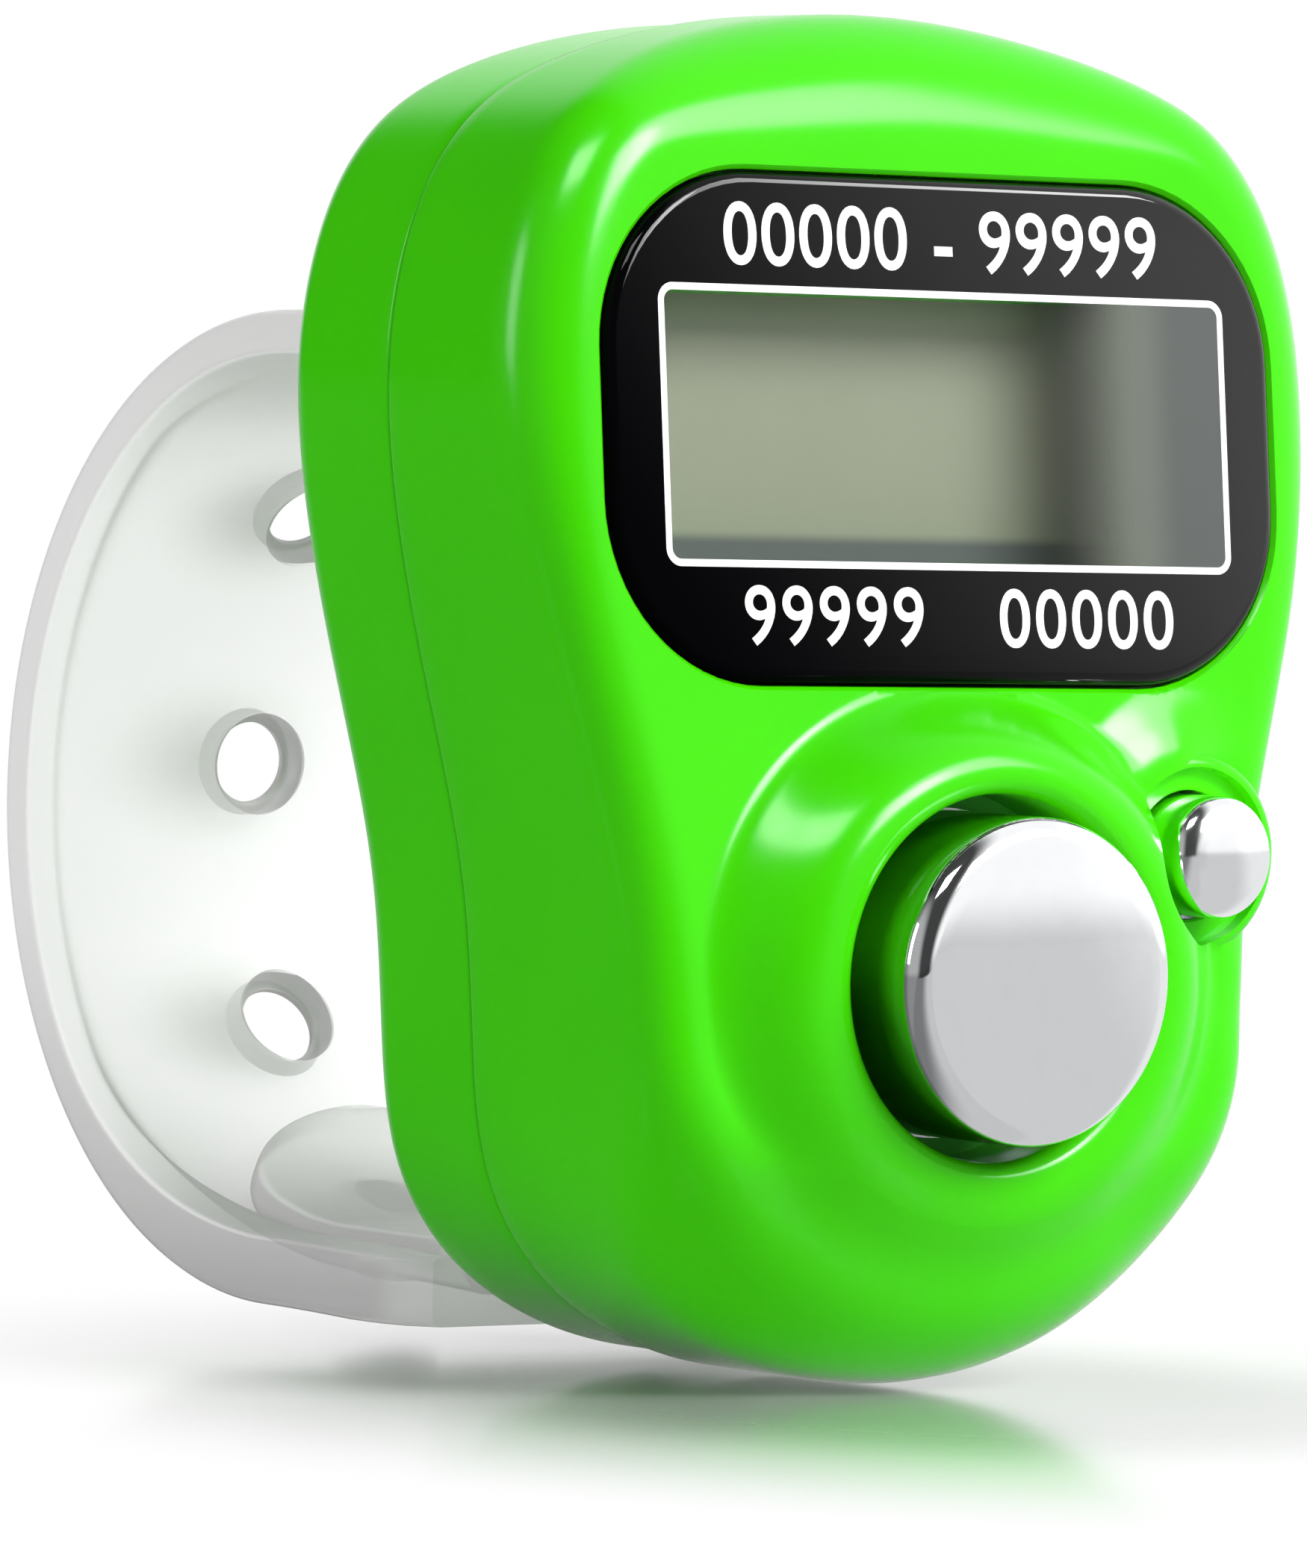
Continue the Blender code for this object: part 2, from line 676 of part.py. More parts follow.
def make_buttons(chrome, rubber):
    inner = count_radius - 3 * dome_wall
    flange_front = count_stop - fit_gap
    flange_back = flange_front - count_flange_thickness
    dome_top = board_front + laminate_gap + dome_height
    crown_radius = (count_radius ** 2 + count_crown ** 2) / (2 * count_crown)
    profile = []
    for step in range(4):
        across = (count_radius - count_edge) * step / 3
        profile.append((across, count_front - across ** 2 / (2 * crown_radius)))
    shoulder = count_front - (count_radius - count_edge) ** 2 / (2 * crown_radius) - count_edge
    for step in range(1, 4):
        turn = step / 3 * pi / 2
        profile.append((count_radius - count_edge * (1 - sin(turn)), shoulder + count_edge * cos(turn)))
    profile += [(count_radius, flange_front), (count_flange_radius, flange_front),
                (count_flange_radius, flange_back), (inner, flange_back),
                (inner, count_front - 4 * dome_wall), (count_stem_radius, count_front - 4 * dome_wall),
                (count_stem_radius, dome_top + fit_gap), (0.0, dome_top + fit_gap)]
    turned("count_button", profile, chrome, up=count_rise, steps=44)

    flange_front = reset_stop - fit_gap
    flange_back = flange_front - reset_flange_thickness
    profile = []
    for step in range(7):
        turn = step / 6 * pi / 2
        profile.append((reset_radius * sin(turn), reset_front - reset_radius * (1 - cos(turn))))
    profile += [(reset_radius, flange_front), (reset_flange_radius, flange_front),
                (reset_flange_radius, flange_back), (reset_stem_radius, flange_back),
                (reset_stem_radius, dome_top + fit_gap), (0.0, dome_top + fit_gap)]
    turned("reset_button", profile, chrome, reset_offset, reset_rise, steps=28)

    for name, radius, across, up in (("count_dome", count_dome_radius, 0.0, count_rise),
                                     ("reset_dome", reset_dome_radius, reset_offset, reset_rise)):
        base = board_front + laminate_gap
        foot = radius / 4
        top = radius / 2
        profile = [(0.0, base + dome_height), (top, base + dome_height), (radius - foot, base + dome_wall),
                   (radius, base + dome_wall), (radius, base), (radius - foot - dome_wall / 2, base),
                   (top - dome_wall / 2, base + dome_height - 2 * dome_wall),
                   (0.0, base + dome_height - 2 * dome_wall)]
        turned(name, profile, rubber, across, up, steps=24)


def make_board(board_finish, black, brown):
    inset = side_wall + fit_gap + dome_wall / 4
    points = [(place - outward * inset) for place, outward in outline]
    board = plate("circuit_board", [(point.x, point.y) for point in points],
                  board_front, board_back, board_finish)
    holes = [cylinder("board_notch_" + label, case_post_radius + fit_gap, board_front + overrun,
                      board_back - overrun, None, across, up, steps=20)
             for across, up, label in case_screw_places()]
    for name, across, up, radius, back in posts_in_front():
        if name.startswith("board"):
            holes.append(cylinder(name + "_hole", board_screw_radius + slip_gap, board_front + overrun,
                                  board_back - overrun, None, across, up, steps=16))
    cut(board, *holes)
    top = board_back - laminate_gap
    blob = []
    for step in range(7):
        turn = step / 6 * pi / 2
        blob.append((chip_radius * cos(turn), top - chip_height * sin(turn)))
    turned("chip_cover", [(0.0, top), *blob], black, up=chip_rise, steps=28)
    box("timing_capacitor", capacitor_length, top, top - capacitor_height,
        capacitor_rise - capacitor_width / 2, capacitor_rise + capacitor_width / 2, brown, capacitor_offset)


def make_cell(steel, brass):
    front = cell_front
    back = front - cell_thickness
    edge = cell_can_edge
    profile = [(0.0, front), (cell_cap_radius, front), (cell_cap_radius, front - cell_cap_height),
               (cell_radius - edge, front - cell_cap_height), (cell_radius, front - cell_cap_height - edge),
               (cell_radius, back + edge), (cell_radius - edge, back), (0.0, back)]
    turned("button_cell", profile, steel, up=cell_rise, steps=40)

    on_board = board_back - laminate_gap
    on_cell = front + slip_gap + leaf_thickness
    low = cell_rise - leaf_length / 2
    bent_strip("cell_negative_contact",
               [(on_board, low), (on_board, low + leaf_foot), (on_cell, low + 2 * leaf_foot),
                (on_cell, low + leaf_length), (on_cell + leaf_thickness, low + leaf_length + leaf_foot / 2)],
               leaf_width, brass)
    top = cell_rise + cell_radius + slip_gap
    bent_strip("cell_positive_contact",
               [(rear_floor + 2 * fit_gap, top), (on_board, top), (on_board, top + leaf_foot)],
               leaf_width, brass)


def make_door(finish, steel):
    door = plate("battery_door", rounded_rectangle(door_width, door_height, door_corner_radius),
                 door_thickness, 0.0, finish, rise=door_rise)
    top = door_rise + door_height / 2
    tongue = box("door_tongue", door_tongue_width, door_thickness, door_thickness - door_tongue_thickness,
                 top - overrun, top + door_tongue_length, None)
    join(door, tongue)
    seat = door_screw_head_height + slip_gap
    wide = door_screw_head_radius + slip_gap
    narrow = door_screw_radius + slip_gap
    cut(door, turned("door_screw_hole", [(0.0, door_thickness + overrun), (narrow, door_thickness + overrun),
                                         (narrow, seat), (wide, seat), (wide, -overrun), (0.0, -overrun)],
                     None, up=door_screw_rise, steps=24))
    screw("battery_door_screw", door_screw_head_radius, door_screw_head_height, door_screw_radius,
          door_screw_length, laminate_gap, steel, 0.0, door_screw_rise)


def screw(name, head_radius, head_height, radius, length, sink, finish, across, up):
    """A cross-slotted screw driven in from the back, its head sunk by the given depth."""
    shank = sink + head_height + length
    made = turned(name, [(0.0, shank), (radius, shank), (radius, sink + head_height),
                         (head_radius, sink + head_height), (head_radius, sink), (0.0, sink)],
                  finish, across, up, steps=20)
    half = head_radius * screw_slot_share
    slots = []
    for turn, (across_half, up_half) in enumerate(((half, screw_slot_width / 2), (screw_slot_width / 2, half))):
        slots.append(box(name + "_slot_" + str(turn), 2 * across_half, sink + head_height / 2, sink - overrun,
                         up - up_half, up + up_half, None, across))
    cut(made, *slots)
    return made


def make_screws(steel):
    for across, up, label in case_screw_places():
        screw("case_screw_" + label, case_screw_head_radius, case_screw_head_height, case_screw_radius,
              case_screw_length, case_screw_sink, steel, across, up)
    for name, across, up, radius, back in posts_in_front():
        if name.startswith("board"):
            under = board_back - laminate_gap - board_screw_head_height
            screw(name.replace("board", "board_screw"), board_screw_head_radius, board_screw_head_height,
                  board_screw_radius, board_screw_length, under, steel, across, up)


def strap_top_height(back):
    """The height of the band's outer face on its top leg, this far behind the case."""
    share = 1 - max(back, 0.0) / strap_leg
    return strap_rise + strap_radius + strap_top_flare * share * share


def tab_bottom():
    return strap_rise - (strap_radius - strap_floor - fit_gap)


def arc_station(angle):
    """A point on the band's outer face round the finger, with its outward direction."""
    outward = Vector((0.0, cos(angle), sin(angle)))
    return Vector((0.0, strap_leg, strap_rise)) + outward * strap_radius, outward, angle


def band_stations():
    """The band's outer face from the bead inside the case, round the finger, to its free end."""
    inside = -(rear_floor + fit_gap + bead_length)
    stations = []
    for step in range(strap_leg_steps):
        back = inside + (strap_leg - inside) * step / strap_leg_steps
        stations.append((Vector((0.0, back, strap_top_height(back))), Vector((0.0, 0.0, 1.0)), pi / 2))
    for step in range(strap_arc_steps + 1):
        stations.append(arc_station(pi / 2 - pi * step / strap_arc_steps))
    for step in range(1, strap_leg_steps + 1):
        back = strap_leg + (strap_end_gap - strap_leg) * step / strap_leg_steps
        share = 1 - back / strap_leg
        place = Vector((0.0, back, strap_rise - strap_radius - strap_foot_flare * share * share))
        stations.append((place, Vector((0.0, 0.0, -1.0)), -pi / 2))
    return stations


def band_section(place, outward, angle):
    """Points across the band: a thin floor between two raised edges, full where the recess ends."""
    fade = 1 - smooth_share(angle, strap_recess_top - strap_recess_fade, strap_recess_top)
    if angle >= strap_recess_top:
        fade = 0.0
    half = strap_width / 2
    corner = strap_lip_width / 4
    dip = (strap_edge - strap_floor) * fade
    wall = half - strap_lip_width - (1 - fade) * strap_lip_width
    across_and_in = [
        (-half + corner, 0.0), (half - corner, 0.0), (half, corner), (half, strap_edge - corner),
        (half - corner, strap_edge), (wall + corner, strap_edge), (wall, strap_edge - dip),
        (-wall, strap_edge - dip), (-wall - corner, strap_edge), (-half + corner, strap_edge),
        (-half, strap_edge - corner), (-half, corner),
    ]
    return [place + Vector((across, 0.0, 0.0)) - outward * depth for across, depth in across_and_in]


def hole_angles():
    """The adjusting holes, from the one on the stud upwards."""
    pitch = strap_hole_pitch / (strap_radius - strap_floor)
    count = int((strap_recess_top - stud_angle) / pitch) + 1
    return [stud_angle + pitch * step for step in range(count)]


def radial_cylinder(name, radius, outer, inner, angle):
    made = cylinder(name, radius, outer, inner, None, steps=20)
    made.rotation_euler.x = angle - pi / 2
    made.location = (0.0, strap_leg, strap_rise)
    return made


def tab_station(angle, radius):
    outward = Vector((0.0, cos(angle), sin(angle)))
    return Vector((0.0, strap_leg, strap_rise)) + outward * radius, outward


def make_strap(silicone):
    band = loft("strap_band", [band_section(*station) for station in band_stations()], silicone)
    top = strap_top_height(0.0)
    middle = top - strap_edge / 2
    bead = box("band_bead", strap_width, rear_floor + fit_gap + bead_length, rear_floor + fit_gap,
               middle - bead_height / 2, middle + bead_height / 2, None)
    join(band, bead)
    cut(band, *[radial_cylinder("strap_hole_" + str(number), strap_hole_radius, strap_radius + overrun,
                                strap_radius - strap_edge - overrun, angle)
                for number, angle in enumerate(hole_angles())])

    outer = strap_radius - strap_floor - fit_gap
    half = tab_width / 2
    tip_turn = half / outer
    stations = []
    for step in range(1, 10):
        turn = step / 9 * pi / 2
        stations.append((*tab_station(tab_tip - tip_turn * (1 - cos(turn)), outer), half * sin(turn)))
    start = tab_tip - tip_turn
    for step in range(1, 7):
        stations.append((*tab_station(start - (pi / 2 + start) * step / 6, outer), half))
    neck = tab_neck_width / 2
    end = -(rear_floor + fit_gap + bead_length)
    for back, width in ((strap_leg / 2, half), (tab_neck_length, half), (tab_neck_length / 2, neck),
                        (0.0, neck), (end, neck)):
        stations.append((Vector((0.0, back, tab_bottom())), Vector((0.0, 0.0, -1.0)), width))
    corner = tab_thickness / 4
    sections = []
    for place, outward, width in stations:
        across_and_in = [(-width + corner, 0.0), (width - corner, 0.0), (width, corner),
                         (width, tab_thickness - corner), (width - corner, tab_thickness),
                         (-width + corner, tab_thickness), (-width, tab_thickness - corner), (-width, corner)]
        sections.append([place + Vector((across, 0.0, 0.0)) - outward * depth
                         for across, depth in across_and_in])
    tab = loft("strap_tab", sections, silicone)
    bead = box("tab_bead", tab_neck_width, rear_floor + fit_gap + bead_length, rear_floor + fit_gap,
               tab_bottom() - fit_gap / 2, tab_bottom() - fit_gap / 2 + bead_height, None)
    shaft = radial_cylinder("stud_shaft", stud_radius, strap_radius + fit_gap + stud_head_height / 2,
                            outer - tab_thickness / 2, stud_angle)
    base = strap_radius + fit_gap
    profile = [(0.0, base + stud_head_height), (stud_head_radius / 2, base + stud_head_height),
               (stud_head_radius, base + stud_head_height / 3), (stud_head_radius, base), (0.0, base)]
    head = turned("stud_head", profile, None, steps=28)
    head.rotation_euler.x = stud_angle - pi / 2
    head.location = (0.0, strap_leg, strap_rise)
    join(tab, bead, shaft, head)


def main():
    tilted = bpy.data.objects.new("window_plane", None)
    tilted.location = (0.0, -case_depth, window_rise)
    tilted.rotation_euler.x = -face_tilt
    counter.objects.link(tilted)
    green = material("case_green", (0.06, 0.60, 0.0), 0.18)
    black = material("gloss_black", (0.012, 0.012, 0.014), 0.15)
    glass = material("display_glass", (0.38, 0.41, 0.33), 0.08)
    grey = material("reflector_grey", (0.45, 0.47, 0.40), 0.45)
    chrome = material("chrome", (0.86, 0.87, 0.89), 0.06, 1.0)
    steel = material("screw_steel", (0.62, 0.62, 0.62), 0.30, 1.0)
    brass = material("contact_brass", (0.80, 0.62, 0.25), 0.28, 1.0)
    silicone = material("strap_silicone", (0.88, 0.88, 0.88), 0.45)
    rubber = material("dome_rubber", (0.55, 0.56, 0.58), 0.60)
    board = material("board_green", (0.02, 0.22, 0.09), 0.40)
    brown = material("capacitor_brown", (0.42, 0.28, 0.16), 0.50)
    make_front_shell(green, tilted)
    make_rear_shell(green)
    make_display(glass, black, grey, rubber, tilted)
    make_buttons(chrome, rubber)
    make_board(board, black, brown)
    make_cell(steel, brass)
    make_door(green, steel)
    make_screws(steel)
    make_strap(silicone)


main()
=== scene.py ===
from math import cos, pi, radians, sin, sqrt, tan

import bmesh
import bpy
from mathutils import Matrix, Vector


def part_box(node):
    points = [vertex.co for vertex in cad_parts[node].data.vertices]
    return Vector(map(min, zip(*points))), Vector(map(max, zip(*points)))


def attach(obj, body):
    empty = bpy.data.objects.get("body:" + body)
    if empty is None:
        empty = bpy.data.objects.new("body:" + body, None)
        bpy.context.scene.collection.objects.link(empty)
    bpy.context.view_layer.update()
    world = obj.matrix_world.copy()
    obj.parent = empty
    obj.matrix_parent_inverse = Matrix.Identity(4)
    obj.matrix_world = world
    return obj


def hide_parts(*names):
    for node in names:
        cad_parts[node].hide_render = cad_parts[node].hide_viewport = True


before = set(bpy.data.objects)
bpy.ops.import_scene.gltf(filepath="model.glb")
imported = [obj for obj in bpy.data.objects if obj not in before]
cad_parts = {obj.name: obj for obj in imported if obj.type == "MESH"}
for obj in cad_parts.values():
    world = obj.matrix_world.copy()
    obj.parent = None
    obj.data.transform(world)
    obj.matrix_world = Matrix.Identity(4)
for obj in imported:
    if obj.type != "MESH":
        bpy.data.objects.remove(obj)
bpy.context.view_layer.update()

# Front shell
# The green front half of the case, moulded in glossy ABS with the collar round the count
# button and the small boss round the reset button in one piece. Four screws from behind hold it.


class Wire:
    """A value from a material's nodes, which can be added, multiplied and compared like a number."""

    def __init__(self, finish, socket):
        self.finish = finish
        self.socket = socket

    def math(self, operation, *others):
        return self.finish.node("Math", {"operation": operation}, dict(enumerate((self,) + others)))

    def __add__(self, other):
        return self.math("ADD", other)

    __radd__ = __add__

    def __sub__(self, other):
        return self.math("SUBTRACT", other)

    def __rsub__(self, other):
        return self.finish.node("Math", {"operation": "SUBTRACT"}, {0: other, 1: self})

    def __mul__(self, other):
        return self.math("MULTIPLY", other)

    __rmul__ = __mul__

    def __truediv__(self, other):
        return self.math("DIVIDE", other)

    def __pow__(self, other):
        return self.math("POWER", other)

    def __gt__(self, other):
        return self.math("GREATER_THAN", other)

    def __lt__(self, other):
        return self.math("LESS_THAN", other)

    def most(self, other):
        """The larger of this value and the other."""
        return self.math("MAXIMUM", other)

    def size(self):
        return self.math("ABSOLUTE")

    def root(self):
        return self.math("SQRT")

    def ramp(self, start, end):
        """A smooth rise from 0 at start to 1 at end."""
        return self.finish.node("MapRange", {"interpolation_type": "SMOOTHSTEP"},
                                {"Value": self, "From Min": start, "From Max": end})


class Finish:
    """A material or a room's light, put together from nodes one by one."""

    def __init__(self, name, room=None):
        self.made = room or bpy.data.materials.new(name)
        self.made.use_nodes = True
        self.tree = self.made.node_tree
        self.tree.nodes.clear()

    def node(self, kind, settings=None, inputs=None, output=0):
        made = self.tree.nodes.new("ShaderNode" + kind)
        for name, value in (settings or {}).items():
            setattr(made, name, value)
        for name, value in (inputs or {}).items():
            if isinstance(value, Wire):
                self.tree.links.new(value.socket, made.inputs[name])
            else:
                made.inputs[name].default_value = value
        return Wire(self, made.outputs[output]) if made.outputs else None

    def axis(self, vector, letter):
        return self.node("SeparateXYZ", {}, {0: vector}, letter)

    def place(self, letters="XYZ"):
        """The point's own place on the object, in metres: X across, Y back and Z up."""
        vector = self.node("TexCoord", output="Object")
        return [self.axis(vector, letter) for letter in letters]

    def noise(self, scale, detail=2.0):
        """Clouds over the object, as a value from 0 to 1."""
        vector = self.node("TexCoord", output="Object")
        return self.node("TexNoise", {}, {"Vector": vector, "Scale": scale, "Detail": detail}, "Fac")

    def mix(self, share, first, second):
        """A colour between two colours."""
        colours = [c + (1.0,) if isinstance(c, tuple) else c for c in (first, second)]
        return self.node("Mix", {"data_type": "RGBA"}, {0: share, 6: colours[0], 7: colours[1]}, 2)

    def bump(self, height, distance, strength=1.0):
        return self.node("Bump", {}, {"Height": height, "Distance": distance, "Strength": strength})

    def surface(self, **inputs):
        """The finished surface, from a Principled shader's sockets."""
        named = {name.replace("_", " "): value for name, value in inputs.items()}
        for name, value in named.items():
            if name.endswith("Color") and isinstance(value, tuple):
                named[name] = value + (1.0,)
        return self.node("BsdfPrincipled", {}, named)

    def close(self, shader, output="OutputMaterial"):
        self.node(output, {}, {"Surface": shader})
        return self.made


def start_ring(shape, places):
    """A closed ring of vertices, each at its place."""
    ring = bmesh.ops.create_circle(shape, segments=len(places), radius=1.0)["verts"]
    for vert, place in zip(ring, places):
        vert.co = place
    return ring


def ring_edges(shape, ring):
    return [shape.edges.get((a, b)) for a, b in zip(ring, ring[1:] + ring[:1])]


def grow(shape, ring, places):
    """Extrudes the last ring and moves the new one to its places."""
    made = bmesh.ops.extrude_edge_only(shape, edges=ring_edges(shape, ring))["geom"]
    fresh = {vert for vert in made if isinstance(vert, bmesh.types.BMVert)}
    following = []
    for vert in ring:
        following.append(next(edge.other_vert(vert) for edge in vert.link_edges
                              if edge.other_vert(vert) in fresh))
    for vert, place in zip(following, places):
        vert.co = place
    return following


def lofted(rings, closed=False):
    """A skin through rings of as many places, closed on itself or with a face at each end."""
    shape = bmesh.new()
    first = start_ring(shape, rings[0])
    last = first
    for places in rings[1:]:
        last = grow(shape, last, places)
    if closed:
        bmesh.ops.bridge_loops(shape, edges=ring_edges(shape, first) + ring_edges(shape, last))
    else:
        bmesh.ops.contextual_create(shape, geom=ring_edges(shape, first))
        bmesh.ops.contextual_create(shape, geom=ring_edges(shape, last))
    bmesh.ops.recalc_face_normals(shape, faces=shape.faces)
    return shape


weld_distance = 0.000001


def turned(profile, across, up, steps):
    """A piece turned round an axis that points forwards, from (radius, distance in front)."""
    shape = bmesh.new()
    points = [shape.verts.new((across + radius, -front, up)) for radius, front in profile]
    edges = [shape.edges.new(pair) for pair in zip(points, points[1:])]
    bmesh.ops.spin(shape, geom=points + edges, cent=(across, 0.0, up), axis=(0.0, 1.0, 0.0),
                   angle=2 * pi, steps=steps, use_merge=True)
    bmesh.ops.remove_doubles(shape, verts=shape.verts, dist=weld_distance)
    bmesh.ops.recalc_face_normals(shape, faces=shape.faces)
    return shape


def quarter(steps):
    """The angles of a quarter turn in even steps, from 0."""
    return [step / steps * pi / 2 for step in range(steps + 1)]


def rounded_rectangle(width, height, radius, steps=16):
    """Places round a rectangle with round corners, as across and up from its middle."""
    places = []
    for number in range(4):
        side = 1 if number in (0, 3) else -1
        top = 1 if number in (0, 1) else -1
        for step in range(steps + 1):
            angle = (number + step / steps) * pi / 2
            places.append(Vector((side * (width / 2 - radius) + radius * cos(angle),
                                  top * (height / 2 - radius) + radius * sin(angle))))
    return places


def combined(shape, others, operation):
    """The shape with all the others joined on, or cut out of it."""
    group = bpy.data.collections.new("others")
    bpy.context.scene.collection.children.link(group)
    made = []
    for each in [shape] + others:
        mesh = bpy.data.meshes.new("other")
        each.to_mesh(mesh)
        each.free()
        made.append(bpy.data.objects.new("other", mesh))
    bpy.context.scene.collection.objects.link(made[0])
    for other in made[1:]:
        group.objects.link(other)
    change = made[0].modifiers.new("change", "BOOLEAN")
    change.operation = operation
    change.operand_type = "COLLECTION"
    change.collection = group
    bpy.context.view_layer.update()
    graph = bpy.context.evaluated_depsgraph_get()
    mesh = bpy.data.meshes.new_from_object(made[0].evaluated_get(graph))
    result = bmesh.new()
    result.from_mesh(mesh)
    for other in made:
        bpy.data.objects.remove(other)
    bpy.data.collections.remove(group)
    return result


sharpest_round = radians(32.0)


def finished(name, shape, material, body, slot, *replaced):
    """The finished mesh as a piece that rides on its body and stands for its nodes."""
    mesh = bpy.data.meshes.new(name)
    shape.to_mesh(mesh)
    shape.free()
    mesh.materials.append(material)
    mesh.shade_smooth()
    mesh.set_sharp_from_angle(angle=sharpest_round)
    piece = bpy.data.objects.new(name, mesh)
    bpy.context.scene.collection.objects.link(piece)
    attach(piece, body)
    if replaced:
        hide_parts(*replaced)
    return piece


def make_green_plastic():
    finish = Finish("green_abs")
    clouds = finish.noise(scale=90.0)
    grain = finish.noise(scale=2600.0)
    deep_green = (0.042, 0.590, 0.0)
    light_green = (0.060, 0.670, 0.0)
    return finish.close(finish.surface(
        Base_Color=finish.mix(clouds, deep_green, light_green), Roughness=0.17 + grain * 0.05,
        IOR=1.5, Specular_IOR_Level=0.18,
        Normal=finish.bump(clouds + grain * 0.01, distance=0.00006, strength=0.4)))


green_plastic = make_green_plastic()


def span(node, axis):
    """Where a node of the frame starts and ends along x, y or z, to a tenth of a micron."""
    return [round(getattr(corner, axis), 7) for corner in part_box(node)]


def middle(node, axis):
    return round(sum(span(node, axis)) / 2, 7)


def size(node, axis):
    start, end = span(node, axis)
    return round(end - start, 7)


case_width = size("front_shell", "x")
case_height = size("front_shell", "z")
case_depth = 0.0130
face_tilt = radians(6.0)
side_wall = 0.0013
face_wall = 0.0019
inner_edge_round = 0.0006
outline_shares = [
    (0.0, 1.0), (0.393, 0.983), (0.686, 0.948), (0.857, 0.900), (0.961, 0.8225),
    (1.0, 0.711), (0.936, 0.5765), (0.846, 0.460), (0.775, 0.3588), (0.75, 0.2552),
    (0.718, 0.1516), (0.564, 0.0687), (0.30, 0.0168), (0.0, 0.0),
]


def case_outline(steps):
    """The case's front outline as a smooth closed curve, with the outward direction at each point."""
    half = [Vector((across * case_width / 2, (up - 0.5) * case_height)) for across, up in outline_shares]
    whole = half + [Vector((-point.x, point.y)) for point in reversed(half[1:-1])]
    places = []
    for i in range(len(whole)):
        before, here, there, after = (whole[(i + k) % len(whole)] for k in (-1, 0, 1, 2))
        for step in range(steps):
            t = step / steps
            places.append(0.5 * (2 * here + t * (there - before)
                                 + t * t * (2 * before - 5 * here + 4 * there - after)
                                 + t ** 3 * (3 * here - before - 3 * there + after)))
    smoothing_rounds = 4 * steps
    for _ in range(smoothing_rounds):
        places = [(places[i - 1] + 2 * place + places[(i + 1) % len(places)]) / 4
                  for i, place in enumerate(places)]
    found = []
    for i, place in enumerate(places):
        along = places[(i + 1) % len(places)] - places[i - 1]
        found.append((place, Vector((-along.y, along.x)).normalized()))
    return found


outline = case_outline(steps=12)

window_rise = 0.00755
window_place = (Matrix.Translation((0.0, -case_depth, window_rise))
                @ Matrix.Rotation(-face_tilt, 4, "X"))


def on_window(places, proud):
    """Places on the tilted face, from across and up from the window's middle."""
    return [window_place @ Vector((place.x, -proud, place.y)) for place in places]


def smooth_share(value, start, end):
    share = min(max((value - start) / (end - start), 0.0), 1.0)
    return share * share * (3 - 2 * share)


def face_front(up):
    """How far the tilted front face stands in front of the back at this height."""
    return case_depth - (up - window_rise) * tan(face_tilt)


side_round = 0.0016
top_round_gain = 0.0018
shoulder_round_gain = 0.0006
foot_round_gain = 0.0032
top_shares = (0.925, 1.01)
shoulder_shares = (0.55, 0.75)
foot_shares = (0.25, 0.05)


def edge_radius(up):
    """The round of the front edge, which grows at the shoulders, the top and the foot."""
    share = up / case_height + 0.5
    return (side_round + smooth_share(share, *top_shares) * top_round_gain
            + smooth_share(share, *shoulder_shares) * shoulder_round_gain
            + smooth_share(share, *foot_shares) * foot_round_gain)


count_rise = middle("count_button", "z")
bore_radius = 0.0051
collar_front = -span("front_shell", "y")[0]
collar_side_radius = 0.0088
collar_top_radius = 0.0080
collar_foot_radius = 0.0083
collar_lip_share = 0.16
collar_flank_share = 0.92
collar_flank_bend = 1.2
lip_round = 0.00055
reset_offset = middle("reset_button", "x")
reset_rise = middle("reset_button", "z")
boss_front = 0.0146
boss_flat_radius = 0.0025
boss_round = 0.0004
boss_side_back = 0.0136
boss_root_radius = 0.0024
boss_root_back = 0.0127
boss_blend_rise = 0.00003
boss_blend_radii = (0.0026, 0.0050)
boss_inner_side_shares = (-0.75, 0.35)


def swell(across, up, flat):
    """The front at this point once the collar and the blend of the boss stand on the flat face."""
    radius = sqrt(across ** 2 + (up - count_rise) ** 2)
    upright = ((up - count_rise) / radius) ** 2
    upright_radius = collar_top_radius if up > count_rise else collar_foot_radius
    foot = collar_side_radius + upright * (upright_radius - collar_side_radius)
    out = (radius - bore_radius) / (foot - bore_radius)
    share = min(max((out - collar_lip_share) / collar_flank_share, 0.0), 1.0) ** collar_flank_bend
    front = flat + 0.5 * (1 + cos(pi * share)) * (collar_front - face_front(up))
    away = sqrt((across - reset_offset) ** 2 + (up - reset_rise) ** 2)
    inner_side = smooth_share((reset_offset - across) / max(away, 0.0001), *boss_inner_side_shares)
    blend = (1 - smooth_share(away, *boss_blend_radii)) * inner_side
    return front + max(boss_front + boss_blend_rise - front, 0.0) * blend


def side_ring(inset, front):
    return [Vector((place.x - outward.x * inset, -front, place.y - outward.y * inset))
            for place, outward in outline]


def edge_ring(inset, wall, turn, radius_of, swollen):
    """One ring of the round front edge, from angle 0 at the side to a quarter turn on the face."""
    ring = []
    for place, outward in outline:
        radius = radius_of(place.y)
        edge = place - outward * (inset + radius)
        point = place - outward * (inset + radius * (1 - cos(turn)))
        front = face_front(edge.y) - wall - radius * (1 - sin(turn))
        ring.append(Vector((point.x, -(swell(point.x, point.y, front) if swollen else front), point.y)))
    return ring


ring_crowding = 0.8


def inward_rings(ring, steps, target, front_of):
    """Rings that close in from a ring to a circle round the count button's axis."""
    made = []
    for step in range(1, steps + 1):
        share = (step / steps) ** ring_crowding
        places = []
        for start in ring:
            away = Vector((start.x, start.z - count_rise))
            point = away.lerp(away.normalized() * target, share)
            up = point.y + count_rise
            places.append(Vector((point.x, -front_of(point.x, up), up)))
        made.append(places)
    return made


